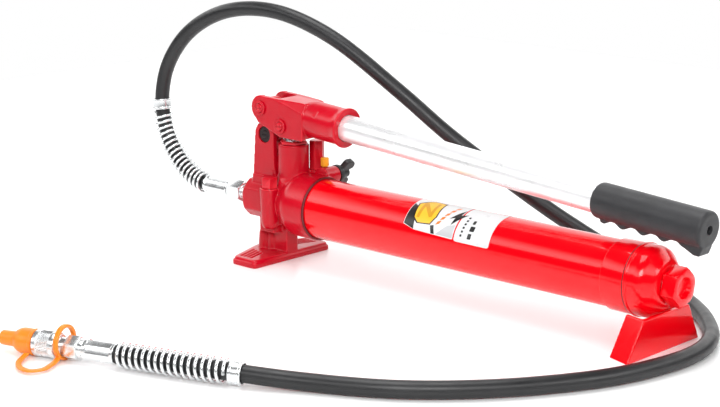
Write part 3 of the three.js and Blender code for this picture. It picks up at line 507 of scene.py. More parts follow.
def cast_paint():
    """The same paint on cast iron: the casting's grain shows through, and convex edges get a painted
    highlight in a lighter pink red.
    """
    look = Look("cast_red_paint", Coat_Weight=0.35, Coat_Roughness=0.1, Specular_IOR_Level=0.15)
    shade = look.between(look.noise(14.0, 4.0), 0.0, 1.0)
    red = look.mix(shade, CAST_DEEP, CAST_RED)
    # Convex edges are mixed towards the lighter pink red: a painted highlight.
    look.colour(look.mix(look.edges(0.52, 0.6), red, PAINTED_EDGE_HIGHLIGHT))
    look.roughness(0.28, 0.42, 60.0)
    look.bump((look.noise(55.0, 3.0), 0.5), (look.noise(260.0, 3.0), 0.16))
    return look.material


def plated(name, colour, low, high, metallic, stretch=None):
    """Bright zinc or chrome plate with faint turning marks and handling haze."""
    colours = (scaled(colour, 0.86), colour)
    rough = (low, high, 120.0, 5.0)
    relief = [(420.0, 3.0, 0.02)]
    return surface(name, colours, (30.0, 4.0), rough, relief, stretch, Metallic=metallic)


def rubber(name, colour, low, high, grain, depth, soft=0.0):
    lighter = tuple(min(1.0, 1.35 * c + 0.002) for c in colour)
    relief = [(grain, 4.0, depth), (grain * 4, 2.0, depth * 0.3)]
    rough = (low, high, 80.0)
    return surface(name, (colour, lighter), (35.0, 4.0), rough, relief, Sheen_Weight=soft)


def moulded(name, colour, low, high):
    colours = (scaled(colour, 0.82), colour)
    glow = {"Subsurface_Weight": 0.12, "Subsurface_Scale": 0.002}
    return surface(name, colours, (25.0, 3.0), (low, high, 70.0), [(240.0, 3.0, 0.04)], **glow)


def film(name, colour):
    colours = (scaled(colour, 0.93), colour)
    coat = {"Coat_Weight": 0.25, "Coat_Roughness": 0.08, "Specular_IOR_Level": 0.3}
    return surface(name, colours, (45.0, 3.0), (0.25, 0.4, 90.0), [(300.0, 2.0, 0.01)], **coat)


GLOSSY_PAINT = glossy_paint()
CAST_PAINT = cast_paint()
ZINC = plated("zinc_plate", (0.9, 0.92, 0.93), 0.16, 0.3, 0.85)
CHROME = plated("handle_plate", (0.97, 0.97, 0.98), 0.24, 0.34, 0.5, (0.15, 1, 1))
STEEL = plated("ground_steel", (0.6, 0.61, 0.62), 0.2, 0.36, 1.0, (1, 1, 0.2))
# Red-tinted near-black for the post pin and its clips: painted shade standing in for the deep shadow
# in the post's pin hole.
PIN_HOLE_SHADOW_BLACK = plated("pin_hole_shadow_black", (0.012, 0.003, 0.004), 0.45, 0.6, 0.2)
BRASS = plated("brass", (0.78, 0.58, 0.25), 0.2, 0.36, 1.0)
HOSE_RUBBER = rubber("hose_rubber", (0.008, 0.008, 0.009), 0.34, 0.46, 260.0, 0.12)
# Dark red for the rings in the tube's seams: painted shade standing in for the shadow in each
# groove.
SEAM_SHADOW_RED = rubber("painted_seam_shadow", (0.12, 0.0006, 0.003), 0.5, 0.65, 300.0, 0.05)
GRIP_RUBBER = rubber("grip_rubber", (0.011, 0.011, 0.013), 0.42, 0.58, 420.0, 0.12, 0.1)
SEAL_RUBBER = rubber("seal_rubber", (0.012, 0.012, 0.012), 0.4, 0.55, 300.0, 0.06)
KNOB_PLASTIC = moulded("knob_plastic", (0.012, 0.012, 0.013), 0.34, 0.5)
ORANGE = moulded("orange_plastic", (0.95, 0.25, 0.01), 0.3, 0.45)
YELLOW = moulded("yellow_plastic", (0.95, 0.42, 0.02), 0.3, 0.45)
FILM_WHITE = film("film_white", (0.7, 0.71, 0.72))
FILM_YELLOW = film("film_yellow", (0.9, 0.5, 0.03))
FILM_GOLD = film("film_gold", (0.62, 0.3, 0.015))
FILM_BLACK = film("film_black", (0.012, 0.012, 0.012))
FILM_GREY = film("film_grey", (0.5, 0.51, 0.53))
FILM_ORANGE = film("film_orange", (0.85, 0.2, 0.03))

# ---------------------------------------------------------------- hose


def smooth_line(points, per_span):
    """A centripetal Catmull-Rom line through the points."""
    points = [Vector(p) for p in points]
    first = points[0] * 2 - points[1]
    last = points[-1] * 2 - points[-2]
    padded = [first, *points, last]
    made = []
    for i in range(1, len(padded) - 2):
        p0, p1, p2, p3 = padded[i - 1 : i + 3]
        t1 = (p1 - p0).length ** 0.5
        t2 = t1 + (p2 - p1).length ** 0.5
        t3 = t2 + (p3 - p2).length ** 0.5
        for step in range(per_span):
            t = t1 + (t2 - t1) * step / per_span
            a1 = p0 * ((t1 - t) / t1) + p1 * (t / t1)
            a2 = p1 * ((t2 - t) / (t2 - t1)) + p2 * ((t - t1) / (t2 - t1))
            a3 = p2 * ((t3 - t) / (t3 - t2)) + p3 * ((t - t2) / (t3 - t2))
            b1 = a1 * ((t2 - t) / t2) + a2 * (t / t2)
            b2 = a2 * ((t3 - t) / (t3 - t1)) + a3 * ((t - t1) / (t3 - t1))
            made.append(b1 * ((t2 - t) / (t2 - t1)) + b2 * ((t - t1) / (t2 - t1)))
    made.append(points[-1])
    return made


def wire(name, points, radius, resolution):
    """A curve of one open line with a round section. Points and radius are in metres."""
    curve = bpy.data.curves.new(name, "CURVE")
    curve.dimensions = "3D"
    curve.bevel_depth = radius
    curve.bevel_resolution = resolution
    curve.use_fill_caps = True
    spline = curve.splines.new("POLY")
    spline.points.add(len(points) - 1)
    for place, point in zip(spline.points, points):
        place.co = (*point, 1)
    return linked(bpy.data.objects.new(name, curve))


class Line:
    """Points and directions at a distance along a line."""

    def __init__(self, points):
        self.points = points
        self.at = [0.0]
        for a, b in zip(points, points[1:]):
            self.at.append(self.at[-1] + (b - a).length)
        self.length = self.at[-1]

    def point(self, distance):
        distance = min(max(distance, 0.0), self.length)
        low, high = 0, len(self.at) - 1
        while high - low > 1:
            middle = (low + high) // 2
            if self.at[middle] <= distance:
                low = middle
            else:
                high = middle
        share = (distance - self.at[low]) / (self.at[high] - self.at[low])
        return self.points[low].lerp(self.points[high], share)

    def direction(self, distance):
        step = 0.002
        return (self.point(distance + step) - self.point(distance - step)).normalized()


HOSE_LINE = Line(smooth_line(HOSE_ROUTE, 12))


def guard(name, start, across_hint):
    """The spring that keeps the hose from kinking: a helix of wire along it."""
    points = []
    steps = int(GUARD_TURNS * 28)
    for step in range(steps + 1):
        t = step / steps
        distance = start + GUARD_LENGTH * MM * t
        middle = HOSE_LINE.point(distance)
        along = HOSE_LINE.direction(distance)
        across = (across_hint - along * across_hint.dot(along)).normalized()
        upward = along.cross(across)
        angle = 2 * math.pi * GUARD_TURNS * t
        turn = across * math.cos(angle) + upward * math.sin(angle)
        points.append(middle + turn * GUARD_R * MM)
    return wire(name, points, GUARD_WIRE_R * MM, 5)


def along_hose(obj, distance):
    """Moves a piece made along +X from the origin to its place along the hose."""
    along = HOSE_LINE.direction(distance)
    turn = along.to_track_quat("X", "Z").to_matrix().to_4x4()
    obj.data.transform(Matrix.Translation(HOSE_LINE.point(distance)) @ turn)
    return obj


def crimped(name, length):
    """A ferrule: a plain lip at each end and shallow crimp flats between them."""
    sides = 96
    flat = 2 * math.pi / 8
    plain = FERRULE_R - 0.6
    bore = 4.0
    hose_bore = 8.1
    crimp = 0.7
    stations = [
        (0, plain, 0), (0.5, plain + 0.55, 0), (2.2, plain + 0.6, 0), (3.4, plain, crimp),
        (length - 4, plain, crimp), (length - 3.2, plain + 0.5, 0),
        (length - 0.8, plain + 0.6, 0), (length, plain + 0.1, 0), (length, bore, 0),
        (FERRULE_SOCKET, bore, 0), (FERRULE_SOCKET, hose_bore, 0), (0, hose_bore, 0),
    ]

    def radius_at(station, k):
        angle = 2 * math.pi * k / sides
        octagon = math.cos(flat / 2) / math.cos(angle % flat - flat / 2)
        return station[1] * (1 + station[2] * (octagon - 1))

    return uneven_tube(name, stations, sides, radius_at)


def end_collar(name):
    length = END_COLLAR_LENGTH
    profile = [
        (0, 8.6), (0, COLLAR_R - 0.5), (0.5, COLLAR_R), (2, COLLAR_R), (2.6, COLLAR_R - 0.5),
        (length - 2.6, COLLAR_R - 0.5), (length - 2, COLLAR_R), (length - 0.5, COLLAR_R),
        (length, COLLAR_R - 0.5), (length, 8.6),
    ]
    profile = rounded(profile, 0.25, closed=False, steps=3)
    return turned(name, profile + [profile[0]], "x")


def hexagonal(name, axis, at, start, end, flats, turn=0.0, chamfer=1.2, near_chamfer=0.0):
    """A hexagon bar whose far end, and near end if asked, is turned to a chamfer."""
    corner = flats / 2 / math.cos(math.pi / 6)
    reach = corner + 0.05
    bar = turned(name, [(start, 0), (start, corner), (end, corner), (end, 0)], axis, at, 6, turn)
    near = [(start, reach)]
    if near_chamfer:
        near = [(start, reach - near_chamfer), (start + 0.6 * near_chamfer, reach)]
    far = [(end - 0.6 * chamfer, reach), (end, reach - chamfer)]
    cone = turned("cone", [(start, 0), *near, *far, (end, 0)], axis, at, 96)
    return bevelled(combine(bar, cone, "INTERSECT"), 0.25, 2)


def make_hose():
    hose = wire("hose_line", HOSE_LINE.points, HOSE_R * MM, 12)
    finished(hose, "pump_body", HOSE_RUBBER, ["hose"])
    first = (FERRULE_SOCKET + 2.4) * MM
    collar_at = first + (GUARD_LENGTH + 2.4) * MM
    length = HOSE_LINE.length
    near = guard("guard_head", first, Vector((0, 1, 0)))
    last = length - first - GUARD_LENGTH * MM
    flat = HOSE_LINE.direction(length - 0.06)
    far = guard("guard_coupler", last, Vector((-flat.y, flat.x, 0)))
    finished(near, "pump_body", ZINC, ["guard_spring_head"])
    finished(far, "pump_body", ZINC, ["guard_spring_coupler"])
    collar_near = along_hose(end_collar("collar_head"), collar_at)
    collar_last = length - collar_at - END_COLLAR_LENGTH * MM
    collar_far = along_hose(end_collar("collar_coupler"), collar_last)
    finished(collar_near, "pump_body", ZINC, ["end_collar_head"])
    finished(collar_far, "pump_body", ZINC, ["end_collar_coupler"])
    ferrule = crimped("ferrule_at_head", FERRULE_LENGTH)
    ferrule_at = Vector((PORT_FACE_X - NIPPLE_LENGTH - HOSE_NUT_LENGTH - 36.5, 0, PORT_Z)) * MM
    ferrule.data.transform(Matrix.Translation(ferrule_at))
    finished(ferrule, "pump_body", ZINC, ["ferrule_head"], 20)
    at = (0, 0, PORT_Z)
    nut_end = PORT_FACE_X - NIPPLE_LENGTH - 0.3
    nut_start = nut_end - HOSE_NUT_LENGTH + 0.9
    nut = hexagonal("nut_at_head", "x", at, nut_start, nut_end, 20, math.pi / 6, 2.2, 1.6)
    finished(nut, "pump_body", ZINC, ["hose_nut"])
    seal = turned("nut_ring", ring_profile(nut_start - 1.2, nut_start + 0.4, 7, 9.9, 0.4), "x", at)
    finished(seal, "pump_body", SEAL_RUBBER)
    make_nipple(at)
    return hose, [near, far, collar_near, collar_far, ferrule, nut, seal]


def make_nipple(at):
    """The threaded piece between the outlet and the hose nut."""
    start = PORT_FACE_X - NIPPLE_LENGTH
    profile = [(start, 0), (start, 7.2)]
    for turn in range(9):
        along = start + 1 + 1.5 * turn
        profile += [(along, 7.4), (along + 0.75, 8.2)]
    profile += [(PORT_FACE_X - 0.3, 7.4), (PORT_FACE_X + 12, 6.5), (PORT_FACE_X + 12, 0)]
    nipple = turned("nipple", profile, "x", at)
    finished(nipple, "pump_body", ZINC, ["outlet_nipple"])


# ---------------------------------------------------------------- coupler

COUPLER_PLACE = Matrix.Translation(COUPLER_END * MM) @ Matrix.Rotation(COUPLER_HEADING, 4, "Z")
COUPLER_FERRULE = 30.6
HEX_START = 35.4
HEX_END = 47.4
SLEEVE_START = 57.0
SLEEVE_END = 79.0
CAP_END = 99.2
NOSE_END = 114.6
SPIGOT_R = 7.6


def on_coupler(obj):
    obj.data.transform(COUPLER_PLACE)
    return obj


def coupler_body():
    profile = [
        (COUPLER_FERRULE + 0.3, 0), (COUPLER_FERRULE + 0.3, FERRULE_R - 1.6),
        (HEX_START - 1.6, 8.4), (HEX_START, 8.6), (HEX_END, 8.6), (HEX_END + 0.8, 7.9),
        (SLEEVE_START - 2.8, 7.9), (SLEEVE_START - 2.4, 9.4), (SLEEVE_START - 0.4, 9.4),
        (SLEEVE_START - 0.2, SPIGOT_R), (SLEEVE_END + 9, SPIGOT_R),
        (SLEEVE_END + 10, SPIGOT_R - 1), (SLEEVE_END + 10, 0),
    ]
    made = softly_turned("coupler_stem", profile, 0.3, "x", steps=3)
    bar = hexagonal("hex", "x", (0, 0, 0), HEX_START, HEX_END, 19, math.pi / 6, 1.4, 1.4)
    return on_coupler(joined(made, bar))


def knurled_sleeve():
    """The locking sleeve: two plain lands and a fine straight knurl between them."""
    sides = 180
    stations = [
        (SLEEVE_START, SPIGOT_R + 0.3, 0), (SLEEVE_START, COUPLER_R - 1.2, 0),
        (SLEEVE_START + 0.3, COUPLER_R - 0.6, 0), (SLEEVE_START + 1.2, COUPLER_R - 0.1, 0),
        (SLEEVE_START + 5, COUPLER_R - 0.1, 0), (SLEEVE_START + 5.5, COUPLER_R - 0.7, 0),
        (SLEEVE_START + 6.2, COUPLER_R - 0.7, 0.22), (SLEEVE_END - 5.2, COUPLER_R - 0.7, 0.22),
        (SLEEVE_END - 4.6, COUPLER_R - 0.7, 0), (SLEEVE_END - 4.1, COUPLER_R - 0.1, 0),
        (SLEEVE_END - 0.6, COUPLER_R - 0.1, 0), (SLEEVE_END, COUPLER_R - 0.7, 0),
        (SLEEVE_END, SPIGOT_R + 0.3, 0),
    ]

    def radius_at(station, k):
        return station[1] + station[2] * (1 if k % 3 == 0 else -1)

    return on_coupler(uneven_tube("sleeve", stations, sides, radius_at))


def dust_cap():
    profile = [
        (SLEEVE_END + 12, 0), (SLEEVE_END + 12, SPIGOT_R + 0.3),
        (SLEEVE_END + 0.6, SPIGOT_R + 0.3), (SLEEVE_END + 0.6, COUPLER_R),
        (SLEEVE_END + 3, COUPLER_R), (SLEEVE_END + 3.6, COUPLER_R - 0.5),
        (CAP_END - 5, COUPLER_R - 0.4), (CAP_END, COUPLER_R - 3.2), (CAP_END + 0.6, 6.7),
        (NOSE_END - 0.6, 6.3), (NOSE_END, 5.7), (NOSE_END, 4.2), (NOSE_END - 6, 4.0),
        (NOSE_END - 6, 0),
    ]
    radii = [0, 0.2, 0.3, 0.6, 0.4, 0.6, 3.5, 2.4, 0.8, 0.6, 0.6, 0.4, 0.3, 0]
    return on_coupler(softly_turned("cap", profile, radii, "x"))


def cap_strap():
    """A ring standing round the coupler's neck, and a flat strap from it to the cap."""
    lift = 15.3 + 0.3 - COUPLER_END.z
    loop = turned("strap", ring_profile(49.4, 53.8, 12.4, 15.3, 0.8), "x", (0, 0, lift))
    route = [
        (51.4, 9.6, -6.2), (50.6, 16, -8.3), (48.6, 27, -8.6), (48.6, 38, -8.6),
        (56, 45.5, -8.6), (68, 42, -8.6), (77, 31, -8.2), (80.5, 19, -7.6), (81, 13.4, -6.6),
    ]
    line = Line(smooth_line(route, 10))
    section = rounded([(-1.0, -2.5), (1.0, -2.5), (1.0, 2.5), (-1.0, 2.5)], 0.7, steps=4)
    steps = 90
    points = []
    for step in range(steps + 1):
        distance = line.length * step / steps
        middle = line.point(distance)
        ahead = line.point(distance + 0.4) - line.point(distance - 0.4)
        along = ahead.normalized()
        side = Vector((0, 0, 1)).cross(along).normalized()
        upward = along.cross(side)
        points += [tuple(middle + side * b + upward * a) for a, b in section]
    count = len(section)
    faces = [tuple(range(count)), tuple(range(steps * count, (steps + 1) * count))]
    faces += skin(steps + 1, count, closed=False)
    strap = mesh_piece("strap_run", points, faces)
    joined(loop, strap)
    return on_coupler(softened(loop, 0.35, 4))


def make_coupler():
    ferrule = on_coupler(crimped("ferrule_at_coupler", COUPLER_FERRULE))
    finished(ferrule, "pump_body", ZINC, ["ferrule_coupler"], 20)
    stem = coupler_body()
    finished(stem, "pump_body", ZINC, ["coupler_body"])
    sleeve = knurled_sleeve()
    finished(sleeve, "coupler_sleeve", ZINC, ["coupler_sleeve"])
    cap = dust_cap()
    finished(cap, "dust_cap", ORANGE, ["dust_cap"])
    strap = cap_strap()
    finished(strap, "pump_body", ORANGE, ["cap_strap"], 60)
    return [ferrule, stem, sleeve, cap, strap]


hose, hose_pieces = make_hose()
coupler_pieces = make_coupler()

# ---------------------------------------------------------------- pump head


def foot_solid():
    j = JOINT_X
    corners = [(j - 77, -54), (j - 44, -54), (j - 44, 54), (j - 77, 54), (j - 94, 5), (j - 94, -5)]
    lower = prism("head", rounded(corners, 5), "z", 0, 5)
    upper = []
    for x, y in corners:
        upper.append((x + (1.5 if x < j - 60 else -1.5), y * 0.975))
    step = prism("step", rounded(upper, 5), "z", 4, 8)
    joined(lower, step)
    for row in range(4):
        for side in (-1, 1):
            outer = (j - 71 + 4.6 * row, side * 47)
            inner = (j - 80 + 5.2 * row, side * (19 + 1.5 * row))
            outline = [
                (outer[0] - 1.1, outer[1]), (outer[0] + 1.1, outer[1]),
                (inner[0] + 1.1, inner[1]), (inner[0] - 1.1, inner[1]),
            ]
            cut(lower, prism("groove", outline, "z", 6.2, 9))
    return lower


def lobe(x, y, top):
    profile = [(4, 0), (4, 9), (8, 7.8), (top - 6, 6.8), (top, 5), (top, 0)]
    return softly_turned("lobe", profile, [0, 2, 4, 3, 4, 0], "z", (x, y, 0))


def pedestal_solids():
    """Two round lobes, the block behind them, its neck, and a web under the barrel."""
    j = JOINT_X
    return [
        lobe(j - 78.5, -4, 30),
        lobe(j - 67.5, -2.5, 29),
        block("pillar", j - 84, j - 62, -3, 9, 4, 30),
        block("neck", j - 79, j - 60, -12, 12, 28, 46),
        block("web", j - 68, j - 45.5, -7, 9, 4, 40),
    ]


def head_solids():
    j = JOINT_X
    profile = [(-48, 0), (-48, 20), (-34, 29.5), (-28, BARREL_R), (0, BARREL_R), (0, 0)]
    barrel = softly_turned("barrel", profile, [0, 3, 4, 4, 1.4, 0], "x", (j, 0, AXIS_Z))
    top = block("top", j - 88, j - 24, -13, 13, 60, BODY_TOP)
    profile = [
        (60, 0), (60, CYLINDER_R + 3), (BODY_TOP - 2, CYLINDER_R + 3),
        (BODY_TOP + 3, CYLINDER_R), (CYLINDER_TOP - 1, CYLINDER_R),
        (CYLINDER_TOP, CYLINDER_R - 1), (CYLINDER_TOP, 0),
    ]
    cylinder = turned("cylinder", profile, "z", (PUMP_X, 0, 0))
    return [foot_solid(), barrel, top, cylinder, *pedestal_solids()]


def port_solid():
    half = PORT_HALF
    low = half - PORT_CHAMFER
    outline = [
        (-half, -low), (-low, -half), (low, -half), (half, -low), (half, low), (low, half),
        (-low, half), (-half, low),
    ]
    outline = [(a, b + PORT_Z) for a, b in outline]
    end = JOINT_X - 30
    port = prism("port", outline, "x", PORT_FACE_X, end)
    length = end - PORT_FACE_X
    at = (PORT_FACE_X, 0, PORT_Z)
    cone = rod("cone", "x", at, 0, length, half + 0.5, half + length, 96)
    return combine(port, cone, "INTERSECT")


def post_solid():
    j = JOINT_X
    outline = [
        (j - 89, BODY_TOP - 14), (j - 56, BODY_TOP - 14), (j - 58.5, 111), (j - 58.5, 130),
        (j - 63, 137), (j - 70, 139.6), (j - 79, 138), (j - 84.5, 130.5),
    ]
    return prism("post", rounded(outline, 3), "y", -POST_HALF_WIDTH, POST_HALF_WIDTH)


def boss_solids():
    profile = [
        (34, 0), (34, VALVE_R - 4), (39, VALVE_R - 1.4), (VALVE_SEAT - 8, VALVE_R - 0.4),
        (VALVE_SEAT, VALVE_R + 0.2), (VALVE_SEAT, 0),
    ]
    valve_at = (VALVE_X, VALVE_Y, 0)
    column = softly_turned("column", profile, [0, 3, 5, 4, 1.2, 0], "z", valve_at)
    web = block("arm", VALVE_X - 8, VALVE_X + 7, VALVE_Y, -8, 37, VALVE_SEAT - 5)
    shelf = block("shelf", JOINT_X - 72, VALVE_X + 3, VALVE_Y + 2, -6, 29, 42)
    release = rod("release", "y", (KNOB_X, 0, KNOB_Z), 8, 28, 10, 9)
    safety = rod("safety", "z", (SAFETY_X, SAFETY_Y, 0), 70, SAFETY_Z, 10, 9)
    return [column, web, shelf, release, safety]


def head_cutters():
    j = JOINT_X
    pump_at = (PUMP_X, 0, 0)
    tube_at = (j, 0, AXIS_Z)
    gland = rod("gland", "z", pump_at, CYLINDER_TOP - 16, CYLINDER_TOP + 1, 12.3)
    bore = rod("bore", "z", pump_at, 44, CYLINDER_TOP + 1, PLUNGER_R + 0.05)
    slot = block("slot", j - 95, j - 57.6, -7, 7, 105, 145)
    seat = rod("seat", "x", tube_at, -14, 1, TUBE_R + 0.3)
    mouth = rod("mouth", "x", tube_at, -4, 1, TUBE_R + 1.4, TUBE_R + 2.2)
    well = rod("well", "x", tube_at, -20, 0, 24)
    port = rod("port_bore", "x", (0, 0, PORT_Z), PORT_FACE_X - 1, j - 60, 6.9)
    valve = rod("valve_bore", "z", (VALVE_X, VALVE_Y, 0), 44, VALVE_SEAT + 1, 5.5)
    spot = rod("spot_face", "z", (VALVE_X, VALVE_Y, 0), VALVE_SEAT, 92, 9.4, 10.5)
    release = rod("release_bore", "y", (KNOB_X, 0, KNOB_Z), 12, 30, 5.3)
    safety = rod("safety_bore", "z", (SAFETY_X, SAFETY_Y, 0), 84, 94, 4.3)
    vent = rod("vent_bore", "z", (VENT_X, VENT_Y, 0), VENT_Z - 3, VENT_Z + 1, 2.8)
    pin_at = (POST_PIN_X, 0, POST_PIN_Z)
    recesses = [rod("recess", "y", pin_at, low, low + 4, POST_RECESS_R) for low in (-13.2, 9.2)]
    openings = [gland, bore, slot, seat, mouth, well, port, valve, spot, release, safety, vent]
    return [*recesses, *openings]


def make_head():
    solids = head_solids()
    head = joined(*solids, port_solid(), post_solid(), *boss_solids())
    softened(head, 0.75, 7)
    cut(head, *head_cutters())
    finished(head, "pump_body", CAST_PAINT, ["head_casting"], 50)


def hex_screw(name, axis, at, seat, length, flats, shank_r, shank, turn=0.0):
    head = hexagonal(name, axis, at, seat, seat + length, flats, turn)
    stem = rod("stem", axis, at, seat - shank, seat + 1, shank_r)
    return joined(head, stem)


def make_valves():
    valve_at = (VALVE_X, VALVE_Y, 0)
    outlet = hex_screw("valve_plug", "z", valve_at, VALVE_SEAT + 0.3, 10.7, 15, 5.2, 10, 0.3)
    finished(outlet, "pump_body", CAST_PAINT, ["outlet_plug"])
    safety_at = (SAFETY_X, SAFETY_Y, 0)
    safety = hex_screw("safety_valve", "z", safety_at, SAFETY_Z + 0.3, 29, 13.5, 4, 7)
    finished(safety, "pump_body", CAST_PAINT, ["safety_valve_body"])
    vent_at = (VENT_X, VENT_Y, 0)
    vent = hex_screw("vent_cap", "z", vent_at, VENT_Z + 0.3, 8.5, 7.6, 2.5, 2.5)
    finished(vent, "pump_body", YELLOW, ["vent_screw"])


# ---------------------------------------------------------------- reservoir


def seam_shadow_ring(name, start, end, inner, outer):
    """A thin ring in a seam round the tube, dark red as painted shade for the shadow in the seam's
    groove.
    """
    made = turned(name, ring_profile(start, end, inner, outer, 0.4), "x", (0, 0, AXIS_Z), 128)
    finished(made, "pump_body", SEAM_SHADOW_RED)


def make_seam_shadow_rings():
    seam_shadow_ring("seam_shadow_at_barrel", JOINT_X - 1.2, JOINT_X + 1.3, TUBE_R + 0.05, TUBE_R + 1.5)
    collar_start = SEAM_X - COLLAR_LENGTH
    seam_shadow_ring("seam_shadow_at_collar", collar_start - 0.6, collar_start + 0.2, TUBE_R + 0.05, CAP_R - 0.8)
    seam_shadow_ring("seam_shadow_at_seam", SEAM_X - 1.1, SEAM_X - 0.05, CAP_R - 1.5, CAP_R + 0.45)


def make_reservoir():
    tube_at = (0, 0, AXIS_Z)
    start = JOINT_X - 11.7
    end = SEAM_X - 0.3
    profile = ring_profile(start, end, TUBE_R - 3.5, TUBE_R, 0.3)
    tube = turned("tube", profile, "x", tube_at, 192)
    finished(tube, "pump_body", GLOSSY_PAINT, ["reservoir_tube"])
    collar_start = SEAM_X - COLLAR_LENGTH
    profile = ring_profile(collar_start, SEAM_X - 0.3, TUBE_R + 0.2, CAP_R, 0.7)
    collar = turned("collar", profile, "x", tube_at, 192)
    finished(collar, "pump_body", GLOSSY_PAINT, ["rear_collar"])
    at = (SEAM_X, 0, AXIS_Z)
    profile = [
        (-16, 0), (-16, 26.2), (0, 26.2), (0, CAP_R + CAP_BEAD), (2.4, CAP_R + CAP_BEAD),
        (3.2, CAP_R), (CAP_LENGTH - 12, CAP_R), (CAP_LENGTH, CAP_R - 13), (CAP_LENGTH, 8.3),
        (13, 8.3), (13, 0),
    ]
    radii = [0, 0.3, 0.3, 0.9, 0.9, 0.5, 8, 8, 0.4, 0.4, 0]
    cap = softly_turned("cap_end", profile, radii, "x", at, 192, 10)
    finished(cap, "pump_body", GLOSSY_PAINT, ["end_cap"])
    profile = ring_profile(CAP_LENGTH + 0.3, CAP_LENGTH + 1.7, 8.4, 13.5, 0.3)
    seal = turned("plug_washer", profile, "x", at)
    finished(seal, "pump_body", STEEL, ["plug_seal"])


def make_rear_plug():
    at = (0, 0, AXIS_Z)
    end = PLUG_SEAT + 13
    plug = hexagonal("plug", "x", at, PLUG_SEAT, end, 31, 0.3, 2.0)
    stem = rod("stem", "x", at, PLUG_SEAT - 14, PLUG_SEAT + 1, 8)
    recess = rod("recess", "x", at, end - 5, end + 1, 8.6, 9.8)
    cut(joined(plug, stem), recess)
    bevelled(plug, 0.3, 2, 40)
    finished(plug, "pump_body", GLOSSY_PAINT, ["rear_plug"])


def make_rear_foot():
    back = SEAM_X + 23
    wall = 4
    low = (SEAM_X - 1, back, 46, 54)
    high = (SEAM_X + 3, back + 2, 29, 34)
    outer = tapered_block("foot_plate", 0, low, 35, high)
    low = (SEAM_X - 9, back - wall, 43, 50)
    high = (SEAM_X - 5, back + 2 - wall, 24, 30)
    inner = tapered_block("inner", -1, low, 36, high)
    saddle = rod("saddle", "x", (SEAM_X, 0, AXIS_Z), -30, 13, CAP_R + CAP_BEAD + 0.3)
    dome = rod("dome", "x", (SEAM_X, 0, AXIS_Z), 12, 28, CAP_R + 0.3, 18)
    cut(outer, inner, saddle, dome)
    softened(outer, 0.6, 5)
    finished(outer, "pump_body", GLOSSY_PAINT, ["rear_foot"], 60)


# ---------------------------------------------------------------- label


def patch(target, outline, height, slot):
    """Adds a flat outline of (X, degrees above horizontal) to a mesh, wrapped on the tube."""
    work = bmesh.new()
    radius = TUBE_R + height
    scale = math.radians(1) * radius
    corners = [work.verts.new((x, angle * scale, 0)) for x, angle in outline]
    face = work.faces.new(corners)
    face.material_index = slot
    low = min(angle for x, angle in outline)
    high = max(angle for x, angle in outline)
    angle = math.ceil(low / 3) * 3
    while angle < high:
        geometry = work.verts[:] + work.edges[:] + work.faces[:]
        plane = (0, angle * scale, 0)
        bmesh.ops.bisect_plane(work, geom=geometry, plane_co=plane, plane_no=(0, 1, 0))
        angle += 3
    for vert in work.verts:
        turn = vert.co.y / radius
        height = AXIS_Z + radius * math.sin(turn)
        vert.co = Vector((vert.co.x, -radius * math.cos(turn), height))
        vert.co *= MM
    bmesh.ops.recalc_face_normals(work, faces=work.faces)
    outward = 0
    for face in work.faces:
        middle = face.calc_center_median()
        outward += face.normal.dot(middle - Vector((middle.x, 0, AXIS_Z * MM)))
    if outward < 0:
        bmesh.ops.reverse_faces(work, faces=work.faces)
    work.to_mesh(target)
    work.free()


def printed(name, patches):
    """One printed film: patches of (outline, layer, slot) in a single piece."""
    whole = bmesh.new()
    for outline, layer, slot in patches:
        mesh = bpy.data.meshes.new("patch")
        patch(mesh, outline, 0.33 + 0.03 * layer, slot)
        whole.from_mesh(mesh)
        bpy.data.meshes.remove(mesh)
    mesh = bpy.data.meshes.new(name)
    whole.to_mesh(mesh)
    whole.free()
    return linked(bpy.data.objects.new(name, mesh))


def shifted(points, dx, da):
    return [(x + dx, a + da) for x, a in points]


def make_labels():
    looks = [FILM_WHITE, FILM_BLACK, FILM_YELLOW, FILM_GOLD, FILM_GREY, FILM_ORANGE]
    white, black, yellow, gold, grey, orange = range(6)
    sheet = rounded([(-37, 24), (-23, 17), (23.6, 14), (23.6, 96), (-37, 92)], 1.5)
    wedge = [(-36.5, 25), (-24, 18), (-27.5, 60), (-36.5, 70)]
    badge = [(-21, 31), (-7, 33), (-3.5, 48), (-5.6, 86), (-20, 88), (-31, 71), (-27, 40)]
    badge_rim = [(-22, 29), (-6, 31), (-2, 48), (-4.4, 88), (-21, 90), (-32.6, 72), (-28.6, 38)]
    chevron = [(-25, 40), (-21.5, 40), (-22.5, 66), (-11, 44), (-8, 46), (-9, 82), (-12.5, 82)]
    chevron += [(-12, 56), (-23, 78), (-27, 76)]
    stem = [(-5.5, 30), (-1.5, 32), (1.5, 16.5), (-2.5, 16.5)]
    bolt = [(17, 38), (30, 66), (22.5, 62), (23.4, 78), (12.5, 50), (18, 54)]
    shade = [(3, 17), (22.5, 16), (22.5, 40), (14, 36)]
    patches = [
        (sheet, 0, white), (shade, 1, grey), (wedge, 1, black), (badge_rim, 1, black),
        (badge, 2, yellow), (chevron, 3, gold), (stem, 2, black), (bolt, 2, black),
    ]
    lozenge = [(0, 33), (4, 36), (5.2, 43), (1.2, 40)]
    for step in range(5):
        patches.append((shifted(lozenge, 2.6 * step, 10.0 * step), 2, orange))
    graphic = printed("label_with_graphic", patches)
    finished(graphic, "pump_body", looks, ["label_graphic"], 60)
    sheet = rounded([(25.2, 12), (66, 11.5), (66, 94), (25.2, 94)], 4)
    patches = [(sheet, 0, white)]
    for step in range(6):
        tick = [(31, 22), (33.4, 22), (33.4, 26), (31, 26)]
        patches.append((shifted(tick, 0.25 * step, 7.2 * step), 1, black))
    for low, high, thick in ((20, 30, 4.2), (34, 44, 5.4), (48, 56, 3.2)):
        bar = rounded([(40, low), (40 + thick, low), (40 + thick, high), (40, high)], 1.2)
        patches.append((bar, 1, black))
    plain = printed("label_with_marks", patches)
    finished(plain, "pump_body", looks, ["label_plain"], 60)


# ---------------------------------------------------------------- plunger, link and lever


